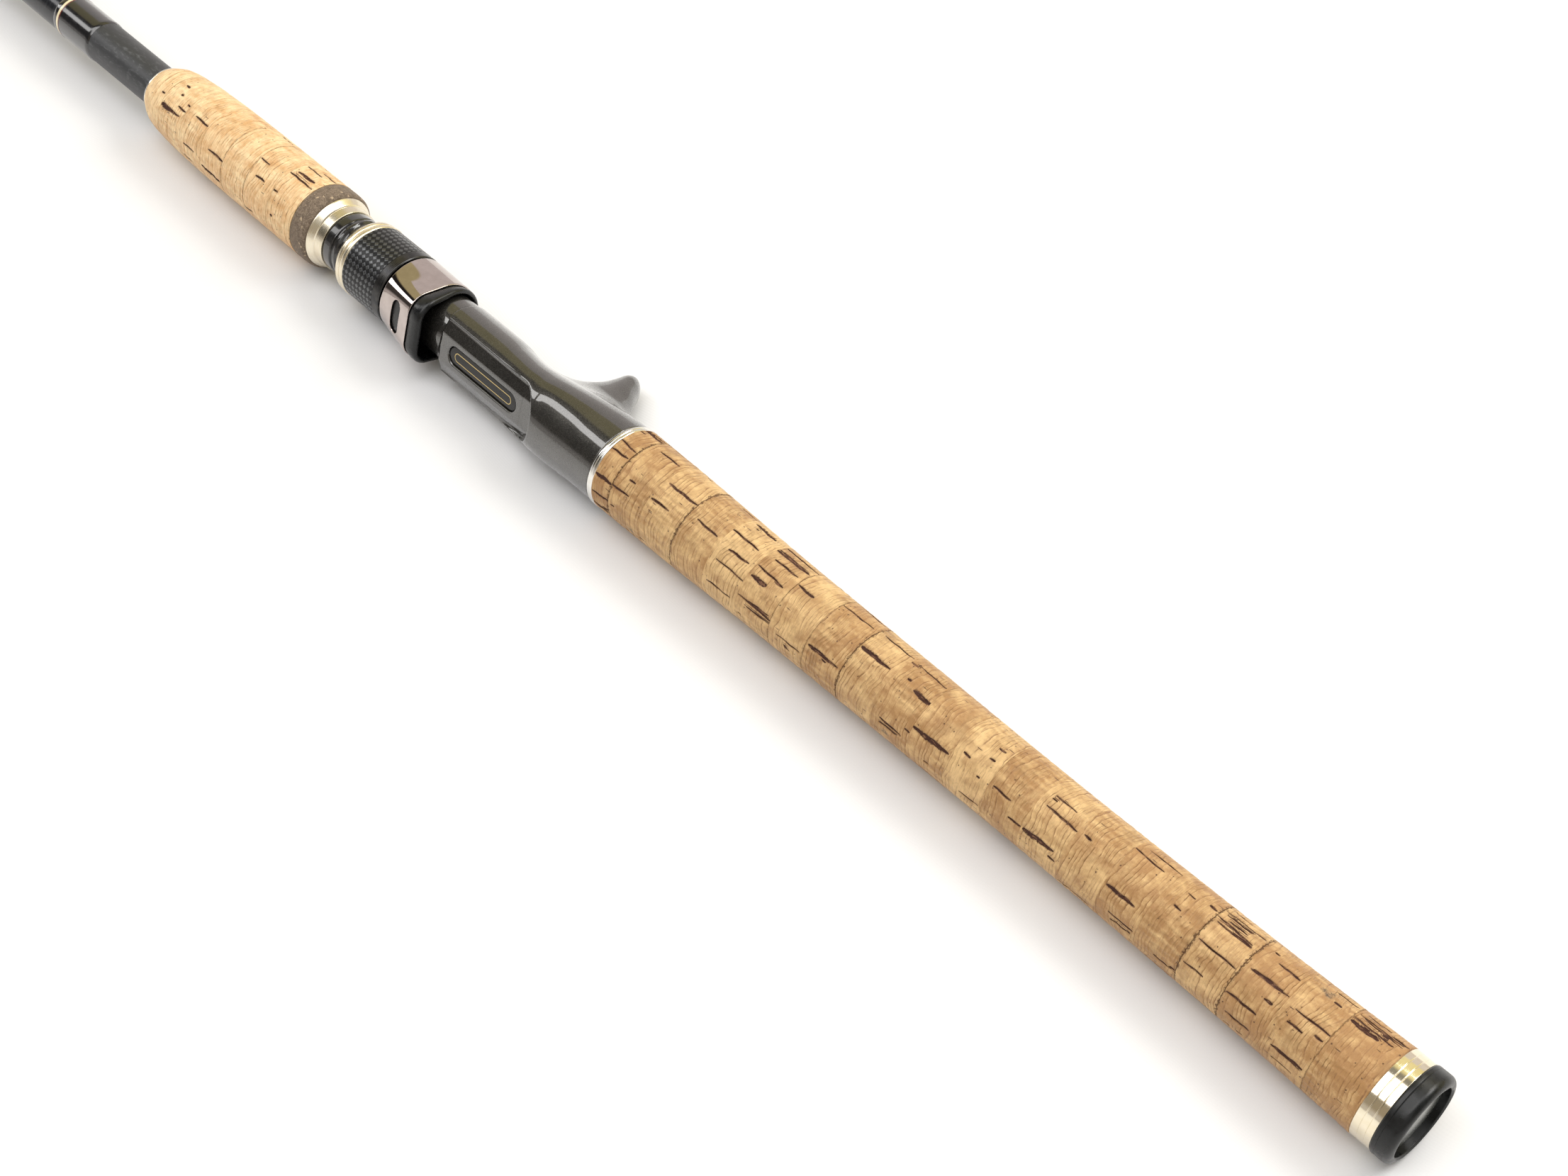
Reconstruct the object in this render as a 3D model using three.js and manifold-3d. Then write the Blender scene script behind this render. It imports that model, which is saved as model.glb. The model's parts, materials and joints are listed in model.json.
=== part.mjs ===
// One-piece baitcasting rod: cork handle, trigger reel seat with a sliding hood and a threaded lock nut,
// tapered blank and line guides. Millimetres, +Z up.
// Stations are distances along the rod axis, measured from the joint between butt ring and cork towards
// the tip. In the rod's own frame the axis is X, the tip points to -X and the reel side is +Z.
import * as THREE from 'three';
import { mergeVertices } from 'three/addons/utils/BufferGeometryUtils.js';
import Module from 'manifold-3d';

const wasm = await Module();
wasm.setup();

// ---- Driving dimensions ----
const ROD_LENGTH = 1980;
const ROLL_DEG = 72;                 // turn about the axis that lays the rod on grip and trigger
const GAP = 0.3;                     // clearance between neighbouring pieces

const BUTT_END = -11;                // rubber cap's rear face
const BUTT_RING_START = -5.5;
const BUTT_RING_RADIUS = 12.1;
const BUTT_CAP_RADIUS = 12.3;
const BUTT_PLUG_RADIUS = 9;          // the cap's plug inside the ring
const REAR_CORK_END = 262.2;
const REAR_CHECK_RADIUS = 13.05;
const SEAT_START = 264.4;
const ARCH_FRONT = 290.5;            // front edge of the fixed hood over the reel foot
const SHOULDER = 335.6;
const HOOD_REAR = 341;
const SHELL_REAR = 346.4;
const HOOD_FRONT = 361.5;
const NUT_REAR = 362.3;
const SLEEVE_REAR = 365.8;
const SLEEVE_FRONT = 380.2;
const NUT_FRONT = 385;
const CONE_REAR = 393.8;
const CONE_FLANGE = 397.1;
const BURL_START = 399.5;
const FORE_CORK_START = 406.7;
const FORE_CORK_END = 494;

const BLANK_RADIUS = 7.1;
const BLANK_TIP_RADIUS = 1.1;
const TAPER_START = 560;
const HANDLE_BORE = BLANK_RADIUS + GAP;
const CORK_RING = 12.7;              // half-inch cork rings
const FIRST_CORK_RING = 14;
const FORE_RING_COUNT = 7;
const TIP_END = ROD_LENGTH + BUTT_END;

const BARREL_RADIUS = 9.5;
const THREAD_ROOT = 9.1;
const THREAD_CREST = 9.8;
const THREAD_LEAD = 3;
const THREAD_START = 361;
const THREAD_END = 392;
const NUT_BORE = THREAD_CREST + GAP;
const SLIDING_BORE = THREAD_CREST + 0.35;
const NUT_RIDGE_TURNS = 3;
const NUT_RIDGE_TIP = 9.6;           // stays clear of the root between its facets
const NUT_RIDGE_STATION = 375;       // the nut's inner ridge starts in the groove nearest here
const NUT_RADIUS = 12.1;
const NUT_CORE_RADIUS = 10.9;
const POCKET_LENGTH = 15;            // of the hood's pocket for the reel foot
const LIP_SLANT = 3.2;               // how far the lip's rear face leans back on the side away from the reel

const SEAT_FLOOR = 9.6;              // height of the reel foot's flat rest above the rod axis
const CHANNEL_OVERRUN = 10;          // how far the channel's cut runs past the shoulder
const SLOT_REAR = 300.3;
const SLOT_FRONT = 331.3;
const SLOT_HALF_WIDTH = 3;
const SLOT_FLOOR = 8.1;

const GUIDE_COUNT = 7;               // plus the tip top
const ROUND = 24;                    // facets round most turned pieces
const CORK_FACETS = 16;
const METAL_FACETS = 28;             // checks, seat, hood and nut
const THREAD_FACETS = 14;            // per turn of the thread
const RING_FACETS = 16;              // guide rings

// ---- Materials ----
function finish(color, roughness, metalness) {
  return new THREE.MeshStandardMaterial({ color, roughness, metalness });
}
const corkTints = [0xc9a273, 0xd8b384, 0xc29a68, 0xd2ab7a];
const foreCorkTints = [0xdcb98a, 0xe2c194, 0xd8b282];
const blackRubber = () => finish(0x141414, 0.6, 0);
const plateGrey = () => finish(0x5c5e5e, 0.4, 0.8);
const champagne = () => finish(0xd6c9a8, 0.25, 1);
const silver = () => finish(0xd8d6d0, 0.2, 1);
const burlCork = () => finish(0x6e6154, 0.8, 0);
const greyPaint = () => finish(0x4a4743, 0.15, 0.6);
const slotPlate = () => finish(0x1c1b1a, 0.3, 0.2);
const smokeChrome = () => finish(0x8a807a, 0.06, 1);
const nutDark = () => finish(0x2b2b2c, 0.4, 0.7);
const weave = () => finish(0x24252a, 0.35, 0.2);
const blankCarbon = () => finish(0x2c2d30, 0.3, 0.3);
const guideMetal = () => finish(0x3a3b3e, 0.3, 1);
const ceramic = () => finish(0x101014, 0.12, 0);

// ---- Solids ----
const { clamp, lerp, smoothstep, degToRad } = THREE.MathUtils;

// A closed solid from a three.js geometry, with shared corners merged and no empty triangles.
function solid(geometry) {
  const bare = geometry.clone();
  bare.deleteAttribute('normal');
  bare.deleteAttribute('uv');
  const merged = mergeVertices(bare, 1e-4);
  const corner = merged.index.array;
  const kept = [];
  for (let i = 0; i < corner.length; i += 3) {
    const [a, b, c] = [corner[i], corner[i + 1], corner[i + 2]];
    if (a !== b && b !== c && c !== a) kept.push(a, b, c);
  }
  const vertProperties = new Float32Array(merged.attributes.position.array);
  const shape = { numProp: 3, vertProperties, triVerts: new Uint32Array(kept) };
  const made = new wasm.Manifold(new wasm.Mesh(shape));
  if (made.volume() > 0) return made;
  for (let i = 0; i < kept.length; i += 3) [kept[i], kept[i + 1]] = [kept[i + 1], kept[i]];
  return new wasm.Manifold(new wasm.Mesh({ ...shape, triVerts: new Uint32Array(kept) }));
}

const rod = new THREE.Group();

function addPiece(name, shape, material) {
  const { vertProperties, triVerts } = shape.getMesh();
  const geometry = new THREE.BufferGeometry();
  geometry.setAttribute('position', new THREE.BufferAttribute(vertProperties, 3));
  geometry.setIndex(new THREE.BufferAttribute(triVerts, 1));
  geometry.computeVertexNormals();
  const mesh = new THREE.Mesh(geometry, material);
  mesh.name = name;
  rod.add(mesh);
}

// A solid turned about the rod axis from a closed outline of [station, radius] points.
function turned(outline, segments = ROUND) {
  const points = outline.map(([station, radius]) => new THREE.Vector2(radius, -station));
  points.push(points[0].clone());
  return solid(new THREE.LatheGeometry(points, segments).rotateZ(-Math.PI / 2));
}

// A ring with a straight bore whose outside follows radiusAt from one station to another.
function sleeve(from, to, bore, radiusAt, steps = 1, segments = ROUND) {
  const outside = [];
  for (let i = 0; i <= steps; i++) {
    const station = lerp(from, to, i / steps);
    outside.push([station, radiusAt(station)]);
  }
  return turned([[from, bore], ...outside, [to, bore]], segments);
}

// A solid whose sections are given by place(angle, reach, along): angle 0 is the reel side, reach runs
// from 0 in the middle to 1 on the skin, and along runs from 0 to 1 down its length.
function lofted(place, sides, steps) {
  const geometry = new THREE.CylinderGeometry(1, 1, 1, sides, steps);
  const position = geometry.attributes.position;
  for (let i = 0; i < position.count; i++) {
    const [x, y, z] = [position.getX(i), position.getY(i), position.getZ(i)];
    const spot = place(Math.atan2(x, z), Math.hypot(x, z), y + 0.5);
    position.setXYZ(i, spot.x, spot.y, spot.z);
  }
  return solid(geometry);
}

// A loft along the rod axis whose skin lies at radiusAt(station, angle).
function skin(from, to, radiusAt, sides, steps) {
  return lofted((angle, reach, along) => {
    const station = lerp(from, to, along);
    const radius = reach * radiusAt(station, angle);
    return new THREE.Vector3(-station, radius * Math.sin(angle), radius * Math.cos(angle));
  }, sides, steps);
}

// Value at a station on a smooth line through [station, value] points.
function through(points) {
  const line = new THREE.SplineCurve(points.map(([station, value]) => new THREE.Vector2(station, value)));
  const samples = line.getPoints(200);
  return (station) => {
    const next = samples.findIndex((p) => p.x >= station);
    if (next < 0) return samples.at(-1).y;
    if (next === 0) return samples[0].y;
    const [a, b] = [samples[next - 1], samples[next]];
    return lerp(a.y, b.y, (station - a.x) / (b.x - a.x));
  };
}

// A prism on a plan outline of [station, side] points, from one height to another.
function plate(outline, bottom, top) {
  const shape = new THREE.Shape(outline.map(([station, side]) => new THREE.Vector2(-station, side)));
  const geometry = new THREE.ExtrudeGeometry(shape, { depth: top - bottom, bevelEnabled: false });
  return solid(geometry.translate(0, 0, bottom));
}

// Plan outline of a slot with round ends between two stations, or across the rod when turned.
function slotOutline(from, to, halfWidth, across = false) {
  const outline = [];
  const middle = (from + to) / 2;
  const straight = (to - from) / 2 - halfWidth;
  for (let i = 0; i < 9; i++) {
    const angle = (i / 8) * Math.PI - Math.PI / 2;
    outline.push([straight + halfWidth * Math.cos(angle), halfWidth * Math.sin(angle)]);
  }
  const all = [...outline, ...outline.map(([a, b]) => [-a, -b])];
  return all.map(([a, b]) => (across ? [middle + b, a] : [middle + a, b]));
}

// Plan outline of the reel foot's channel: round under the arch and straight towards the hood.
function channelOutline(halfWidth) {
  const front = SHOULDER + CHANNEL_OVERRUN;
  const outline = [[front, -halfWidth], [front, halfWidth]];
  for (let i = 0; i < 11; i++) {
    const angle = (i / 10) * Math.PI;
    const station = ARCH_FRONT + halfWidth * (1 - Math.sin(angle));
    outline.push([station, halfWidth * Math.cos(angle)]);
  }
  return outline;
}

// A thread ridge: a trapezoid of [base, tip] radii and widths wound along a right-hand helix.
function ridge(startStation, turns, base, tip, baseWidth, tipWidth) {
  const section = new THREE.Shape([
    new THREE.Vector2(-baseWidth / 2, base),
    new THREE.Vector2(baseWidth / 2, base),
    new THREE.Vector2(tipWidth / 2, tip),
    new THREE.Vector2(-tipWidth / 2, tip),
  ]);
  const steps = Math.ceil(turns * THREAD_FACETS);
  const sweep = 2 * Math.PI * turns;
  const geometry = new THREE.ExtrudeGeometry(section, { depth: sweep, steps, bevelEnabled: false });
  const position = geometry.attributes.position;
  for (let i = 0; i < position.count; i++) {
    const [offset, radius, angle] = [position.getX(i), position.getY(i), position.getZ(i)];
    const along = -startStation + (THREAD_LEAD * angle) / (2 * Math.PI) + offset;
    position.setXYZ(i, along, radius * Math.cos(angle), radius * Math.sin(angle));
  }
  return solid(geometry);
}

// ---- Butt ----
function addButt() {
  const rim = 10;
  const outer = BUTT_CAP_RADIUS;
  const capFront = BUTT_RING_START - GAP;
  const plugFront = -1.5;
  const recessFloor = BUTT_END + 2.9;
  addPiece('butt_cap', turned([
    [BUTT_END, rim], [BUTT_END, outer - 1.3], [BUTT_END + 0.5, outer - 0.5], [BUTT_END + 1.6, outer],
    [capFront, outer], [capFront, BUTT_PLUG_RADIUS], [plugFront, BUTT_PLUG_RADIUS], [plugFront, 0],
    [recessFloor, 0], [recessFloor, rim - 0.2],
  ]), blackRubber());
  const plateRadius = rim - 0.5;
  const plateBack = recessFloor - GAP;
  addPiece('butt_plate', turned([
    [plateBack, 0], [plateBack, plateRadius], [plateBack - 0.6, plateRadius],
    [plateBack - 1.1, plateRadius / 2], [plateBack - 1.2, 0],
  ]), plateGrey());
  addPiece('butt_ring', buttRing(), champagne());
}

// The butt ring has three bands with a fine groove between neighbours.
function buttRing() {
  const bore = BUTT_PLUG_RADIUS + GAP;
  const groove = { depth: 0.25, halfWidth: 0.15 };
  const outline = [[BUTT_RING_START, bore], [BUTT_RING_START, BUTT_RING_RADIUS]];
  for (const station of [-3.75, -1.85]) {
    outline.push([station - groove.halfWidth, BUTT_RING_RADIUS]);
    outline.push([station, BUTT_RING_RADIUS - groove.depth]);
    outline.push([station + groove.halfWidth, BUTT_RING_RADIUS]);
  }
  return turned([...outline, [0, BUTT_RING_RADIUS], [0, bore]]);
}

// ---- Cork handle ----
const rearGripRadius = through([[0, 12.1], [25, 11.45], [50, 11.05], [100, 10.7], [150, 11.1], [200, 11.65],
  [235, 12.5], [264, 12.9]]);
const foreGripRadius = through([[404, 12.85], [430, 12.85], [455, 12.75], [470, 12.4], [481, 11.8],
  [489, 10.8], [494, 8.8]]);

function addRearGrip() {
  const joints = [GAP];
  let station = FIRST_CORK_RING;
  while (station < REAR_CORK_END - CORK_RING / 2) {
    joints.push(station);
    station += CORK_RING;
  }
  joints.push(REAR_CORK_END);
  for (let i = 0; i + 1 < joints.length; i++) {
    const name = `rear_cork_${String(i + 1).padStart(2, '0')}`;
    const material = finish(corkTints[i % corkTints.length], 0.75, 0);
    const front = i + 2 < joints.length ? joints[i + 1] - GAP / 2 : joints[i + 1];
    const back = i > 0 ? joints[i] + GAP / 2 : joints[i];
    addPiece(name, sleeve(back, front, HANDLE_BORE, rearGripRadius, 1, CORK_FACETS), material);
  }
  addPiece('rear_check', rearCheck(), silver());
}

// A thin ring with two rounded bands and a fine groove between them.
function rearCheck() {
  const [back, front] = [REAR_CORK_END + GAP, SEAT_START - GAP];
  const [edge, crest, groove] = [REAR_CHECK_RADIUS - 0.1, REAR_CHECK_RADIUS, REAR_CHECK_RADIUS - 0.2];
  return turned([
    [back, HANDLE_BORE], [back, edge], [back + 0.6, crest], [back + 0.9, groove], [back + 1.2, crest],
    [front, edge], [front, HANDLE_BORE],
  ], METAL_FACETS);
}

function addForeGrip() {
  const coneFront = BURL_START - GAP;
  addPiece('cone_check', turned([
    [CONE_REAR, HANDLE_BORE], [CONE_REAR, 9.9], [CONE_REAR + 0.4, 10.3], [CONE_FLANGE, 10.6],
    [CONE_FLANGE, 11.3], [CONE_FLANGE + 0.5, 11.6], [coneFront, 11.8], [coneFront, HANDLE_BORE],
  ], METAL_FACETS), champagne());
  const burlFront = FORE_CORK_START - GAP;
  addPiece('burl_ring', turned([
    [BURL_START, HANDLE_BORE], [BURL_START, 11.7], [BURL_START + 0.6, 12.4], [BURL_START + 2, 12.8],
    [burlFront, 12.9], [burlFront, HANDLE_BORE],
  ]), burlCork());
  const length = (FORE_CORK_END - FORE_CORK_START) / FORE_RING_COUNT;
  for (let i = 0; i < FORE_RING_COUNT; i++) {
    const name = `fore_cork_${String(i + 1).padStart(2, '0')}`;
    const back = FORE_CORK_START + i * length;
    const front = back + length - (i + 1 < FORE_RING_COUNT ? GAP : 0);
    const steps = i + 2 < FORE_RING_COUNT ? 1 : 3;
    const material = finish(foreCorkTints[i % foreCorkTints.length], 0.75, 0);
    addPiece(name, sleeve(back, front, HANDLE_BORE, foreGripRadius, steps, CORK_FACETS), material);
  }
  const checkBack = FORE_CORK_END + GAP;
  addPiece('fore_check', turned([
    [checkBack, HANDLE_BORE], [checkBack, 8.5], [checkBack + 0.7, 8.3], [checkBack + 1.3, 7.9],
    [checkBack + 1.3, HANDLE_BORE],
  ]), silver());
}

// ---- Reel seat ----
const seatReelSide = through([[SEAT_START, 12.75], [275, 12.9], [289, 13.45], [297, 12.9], [306, 12.3],
  [318, 12.1], [SHOULDER, 12]]);
const seatTriggerSide = through([[SEAT_START, 12.75], [273, 12.4], [283, 11.2], [292, 9.4], [300, 8.35],
  [305, 8.4], [311, 9], [318, 9.8], [SHOULDER, 9.9]]);

function seatRadius(station, angle) {
  const turn = Math.abs(angle) / Math.PI;
  return lerp(seatReelSide(station), seatTriggerSide(station), smoothstep(turn, 0.3, 0.72));
}

function triggerSolid() {
  // Along the trigger from inside the seat to the tip: depth below the axis, middle station, half length
  // along the rod and half width across it.
  const depth = through([[0, 4], [0.3, 13], [0.6, 21], [0.9, 29.5], [1, 32.2]]);
  const middle = through([[4, 290], [13, 289.8], [18, 290.4], [22, 291.3], [27, 293], [32.2, 294.8]]);
  const halfLength = through([[4, 17], [10, 16], [14, 11.8], [18, 8.4], [22, 6.4], [27, 4.4], [30, 3.1]]);
  const halfWidth = through([[4, 7], [10, 6.9], [14, 6.4], [18, 5.9], [22, 5.6], [27, 5], [30, 4.3]]);
  const roundFrom = 0.84;
  return lofted((angle, reach, along) => {
    const below = depth(along);
    const tip = clamp((along - roundFrom) / (1 - roundFrom), 0, 1);
    const close = Math.sqrt(Math.max(1 - tip * tip, 0.02));
    const station = middle(below) + reach * close * halfLength(below) * Math.cos(angle);
    const side = reach * close * halfWidth(below) * Math.sin(angle);
    return new THREE.Vector3(-station, side, -below);
  }, 16, 10);
}

// The space above the reel foot: a flat floor with sloping sides, open towards the hood.
function footChannel() {
  const halfWidth = 9;
  const floorHalf = 4.6;
  const [edgeSide, edgeHeight] = [8.5, 7.9];
  const rail = 8.7;
  const above = 20;
  const section = new THREE.Shape([
    [halfWidth, rail], [edgeSide, edgeHeight], [floorHalf, SEAT_FLOOR], [-floorHalf, SEAT_FLOOR],
    [-edgeSide, edgeHeight], [-halfWidth, rail], [-halfWidth, above], [halfWidth, above],
  ].map(([side, height]) => new THREE.Vector2(-height, side)));
  const run = new THREE.ExtrudeGeometry(section, { depth: 60, bevelEnabled: false });
  const trough = solid(run.rotateY(Math.PI / 2).translate(-SHOULDER - CHANNEL_OVERRUN, 0, 0));
  return trough.intersect(plate(channelOutline(halfWidth - 1e-3), 0, 30));
}

// The pocket under the fixed arch, which holds the rear of the reel foot.
function rearPocket() {
  const plan = [[284, 4], [284, -4], [288, -6.4], [298, -6.4], [298, 6.4], [288, 6.4]];
  const underRoof = turned([[270, 0], [270, 12], [310, 12], [310, 0]], METAL_FACETS);
  return plate(plan, SEAT_FLOOR, SEAT_FLOOR + 5).intersect(underRoof);
}

function seatSolid() {
  const grip = skin(SEAT_START, SHOULDER, seatRadius, METAL_FACETS, 14);
  const front = CONE_REAR - GAP;
  const barrel = turned([
    [SHOULDER - 20, 0], [SHOULDER - 20, 8], [SHOULDER - 1, BARREL_RADIUS], [THREAD_START - 3, BARREL_RADIUS],
    [THREAD_START - 2.4, THREAD_ROOT], [THREAD_END + 0.2, THREAD_ROOT], [THREAD_END + 0.5, BARREL_RADIUS],
    [front, BARREL_RADIUS], [front, 0],
  ], METAL_FACETS);
  const turns = (THREAD_END - THREAD_START) / THREAD_LEAD;
  const thread = ridge(THREAD_END, turns, THREAD_ROOT - 0.5, THREAD_CREST, 2, 1);
  const slot = plate(slotOutline(SLOT_REAR, SLOT_FRONT, SLOT_HALF_WIDTH), SLOT_FLOOR, 20);
  const bore = turned([[200, 0], [200, HANDLE_BORE], [450, HANDLE_BORE], [450, 0]], ROUND);
  return grip.add(triggerSolid()).subtract(footChannel()).subtract(rearPocket()).add(barrel)
    .subtract(slot).add(thread).subtract(bore);
}

function addSeat() {
  addPiece('reel_seat', seatSolid(), greyPaint());
  const outline = slotOutline(SLOT_REAR + GAP, SLOT_FRONT - GAP, SLOT_HALF_WIDTH - GAP);
  addPiece('seat_plate', plate(outline, SLOT_FLOOR + GAP, SLOT_FLOOR + 1), slotPlate());
}

// ---- Sliding hood ----
// Distance from the axis to a shape that is round away from the reel and square-shouldered towards it.
function hoodOutline(angle, roundRadius, halfWidth, top, cornerRadius) {
  const side = Math.abs(Math.sin(angle));
  const up = Math.cos(angle);
  if (up <= 0) return roundRadius;
  const flat = Math.min(top / up, halfWidth / Math.max(side, 1e-6));
  const [cornerSide, cornerUp] = [halfWidth - cornerRadius, top - cornerRadius];
  let reach = flat;
  if (flat * side > cornerSide && flat * up > cornerUp) {
    const toward = cornerSide * side + cornerUp * up;
    const spare = toward ** 2 - cornerSide ** 2 - cornerUp ** 2 + cornerRadius ** 2;
    reach = toward + Math.sqrt(Math.max(spare, 0));
  }
  return Math.max(reach, roundRadius);
}

function hoodSkin(station, angle, inset = 0) {
  const square = hoodOutline(angle, 11.7, 10.9, 13.9, 6.5);
  const blend = smoothstep(station, SHELL_REAR - 2, HOOD_FRONT);
  return lerp(square, NUT_RADIUS, blend) - inset;
}

// The front pocket for the reel foot slopes down until only the round passage for the barrel is left.
function footPocket(station, angle) {
  const top = lerp(12.2, 10.6, clamp((station - HOOD_REAR) / POCKET_LENGTH, 0, 1));
  return station > HOOD_REAR + POCKET_LENGTH ? SLIDING_BORE : hoodOutline(angle, SLIDING_BORE, 8.6, top, 3);
}

// The rear lip bulges a little between its two faces.
function lipSkin(station, angle) {
  const bead = Math.sin(Math.PI * clamp((station - HOOD_REAR + 0.6) / (SHELL_REAR - HOOD_REAR + 0.2), 0, 1));
  return hoodSkin(SHELL_REAR, angle, 0.6) + 0.6 * bead;
}

// What the leaning rear face of the lip takes off.
function lipWedge() {
  const reach = 13.5;
  const outline = [
    [HOOD_REAR - 1, -reach], [HOOD_REAR + LIP_SLANT, -reach], [HOOD_REAR, reach], [HOOD_REAR - 1, reach],
  ];
  return plate(outline, -20, 20).rotate([90, 0, 0]);
}

function addHood() {
  const wall = 0.6;
  const sides = METAL_FACETS;
  const outside = skin(SHELL_REAR, HOOD_FRONT, hoodSkin, sides, 4);
  const inside = skin(SHELL_REAR - 1, HOOD_FRONT + 1, (s, a) => hoodSkin(s, a, wall), sides, 4);
  const window = plate(slotOutline(347.7, 358.3, 2.2, true), 10, 20);
  addPiece('hood_shell', outside.subtract(inside).subtract(window), smokeChrome());

  const lip = skin(HOOD_REAR, SHELL_REAR - GAP, lipSkin, sides, 5);
  const liner = skin(SHELL_REAR - 1, HOOD_FRONT - GAP, (s, a) => hoodSkin(s, a, wall + GAP), sides, 4);
  const pocket = skin(HOOD_REAR - 1, HOOD_REAR + POCKET_LENGTH, footPocket, sides, 3);
  const passage = turned([[300, 0], [300, SLIDING_BORE], [400, SLIDING_BORE], [400, 0]], sides);
  const insert = lip.subtract(lipWedge()).add(liner).subtract(pocket).subtract(passage);
  addPiece('hood_insert', insert, blackRubber());
}

// ---- Lock nut ----
function nutCore() {
  const [back, front] = [NUT_REAR + 0.6, NUT_FRONT - 0.5];
  const core = turned([
    [back, NUT_BORE], [back, NUT_CORE_RADIUS], [front, NUT_CORE_RADIUS], [front, NUT_BORE],
  ], METAL_FACETS);
  const firstGroove = Math.floor((THREAD_END - NUT_RIDGE_STATION) / THREAD_LEAD) + 0.5;
  const ridgeStart = THREAD_END - firstGroove * THREAD_LEAD;
  return core.add(ridge(ridgeStart, NUT_RIDGE_TURNS, NUT_BORE + 0.2, NUT_RIDGE_TIP, 0.8, 0.5));
}

function addNut() {
  const bore = NUT_CORE_RADIUS + GAP;
  const flange = SLEEVE_REAR - 3.1;
  addPiece('nut_core', nutCore(), blackRubber());
  addPiece('nut_rear_ring', turned([
    [NUT_REAR, NUT_BORE], [NUT_REAR, NUT_RADIUS - 0.3], [NUT_REAR + 0.3, NUT_RADIUS],
    [SLEEVE_REAR - GAP, NUT_RADIUS], [SLEEVE_REAR - GAP, bore], [flange, bore], [flange, NUT_BORE],
  ], METAL_FACETS), nutDark());
  const sleeveSolid = sleeve(SLEEVE_REAR, SLEEVE_FRONT, bore, () => NUT_RADIUS, 1, METAL_FACETS);
  addPiece('nut_sleeve', sleeveSolid, weave());
  const back = SLEEVE_FRONT + GAP;
  addPiece('nut_front_ring', turned([
    [back, bore], [back, NUT_RADIUS], [back + 0.8, NUT_RADIUS + 0.25], [back + 1.7, NUT_RADIUS - 0.05],
    [back + 2, NUT_RADIUS - 0.45], [back + 2.4, NUT_RADIUS - 0.15], [back + 3.3, NUT_RADIUS - 0.2],
    [NUT_FRONT, NUT_RADIUS - 0.9], [NUT_FRONT, bore],
  ], METAL_FACETS), champagne());
}

// ---- Blank and guides ----
function blankRadius(station) {
  const along = clamp((station - TAPER_START) / (TIP_END - TAPER_START), 0, 1);
  return lerp(BLANK_RADIUS, BLANK_TIP_RADIUS, along);
}

function addBlank() {
  const end = TIP_END - 3;
  const buttWall = 1.1;
  const tipWall = 0.5;
  addPiece('blank', turned([
    [0, BLANK_RADIUS - buttWall], [0, BLANK_RADIUS], [TAPER_START, BLANK_RADIUS], [end, blankRadius(end)],
    [end, blankRadius(end) - tipWall], [TAPER_START, BLANK_RADIUS - buttWall],
  ], 20), blankCarbon());
}

// A flat bar between two points in the rod's frame, thin along the rod.
function strut(start, end, width, thickness) {
  const length = start.distanceTo(end);
  const bar = new THREE.BoxGeometry(width, thickness, length);
  const matrix = new THREE.Matrix4().lookAt(start, end, new THREE.Vector3(1, 0, 0));
  const middle = start.clone().add(end).multiplyScalar(0.5);
  return solid(bar.applyMatrix4(matrix.setPosition(middle)));
}

// A ring standing across the rod, centred at a station and a height above the rod axis.
function standingRing(station, height, inner, outer, length, segments) {
  const half = length / 2;
  const ring = turned([[-half, inner], [-half, outer], [half, outer], [half, inner]], segments);
  return ring.translate([-station, 0, height]);
}

// Guide number 0 is the tip top; the spacing opens up towards the handle.
function guideStation(index) {
  return TIP_END - 2 - 94 * index - 6 * index ** 2;
}

// The tip top's tube fits over the end of the blank and carries its ring on a short post.
function tipTopMount(station, ringBottom) {
  const bore = 1.45;
  const outer = 2;
  const tube = turned([
    [station - 11, bore], [station - 11, outer], [station - 0.2, outer], [station - 0.2, 0],
    [station - 0.5, 0], [station - 0.5, bore],
  ], RING_FACETS);
  const post = new THREE.Vector3(-station + 0.4, 0, outer - 0.4);
  return tube.add(strut(post, new THREE.Vector3(-station, 0, ringBottom), 2, 1.1));
}

// A foot and its legs before (way -1) or behind (way 1) a guide's ring: two legs in front, one behind.
function guideFoot(index, way, station, height, ringRadius) {
  const footHeight = blankRadius(station) + 0.8;
  const footLength = 6 + index * 1.2;
  const reach = 4 + index * 1.2;
  const near = -station + way * reach;
  const footStart = new THREE.Vector3(near - way, 0, footHeight);
  let foot = strut(footStart, new THREE.Vector3(near + way * footLength, 0, footHeight), 2, 0.8);
  for (const side of way < 0 ? [-1, 1] : [0]) {
    const tilt = side * degToRad(50);
    const [topSide, drop] = [ringRadius * Math.sin(tilt), ringRadius * Math.cos(tilt)];
    const top = new THREE.Vector3(-station, topSide, height - drop);
    const heel = new THREE.Vector3(near, side * 0.5, footHeight);
    foot = foot.add(strut(heel, top, side ? 1.2 : 1.8, 0.8));
  }
  return foot;
}

function addGuide(index) {
  const station = guideStation(index);
  const bore = 3 + Math.max(0, index - 5) * 0.9;
  const holder = bore + 0.9;
  const standoff = 1.6 + 0.5 * index;
  const height = blankRadius(station) + standoff + holder + 0.6;
  const name = index === 0 ? 'tip_top' : `guide_${index}`;
  let frame = standingRing(station, height, holder, holder + 0.6, 1.4, RING_FACETS);
  if (index === 0) {
    frame = frame.add(tipTopMount(station, height - holder - 0.2));
  } else {
    for (const way of [-1, 1]) frame = frame.add(guideFoot(index, way, station, height, holder + 0.3));
  }
  addPiece(`${name}_frame`, frame, guideMetal());
  const insert = standingRing(station, height, bore, holder - GAP, 1.8, RING_FACETS);
  addPiece(`${name}_ring`, insert, ceramic());
}

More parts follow.
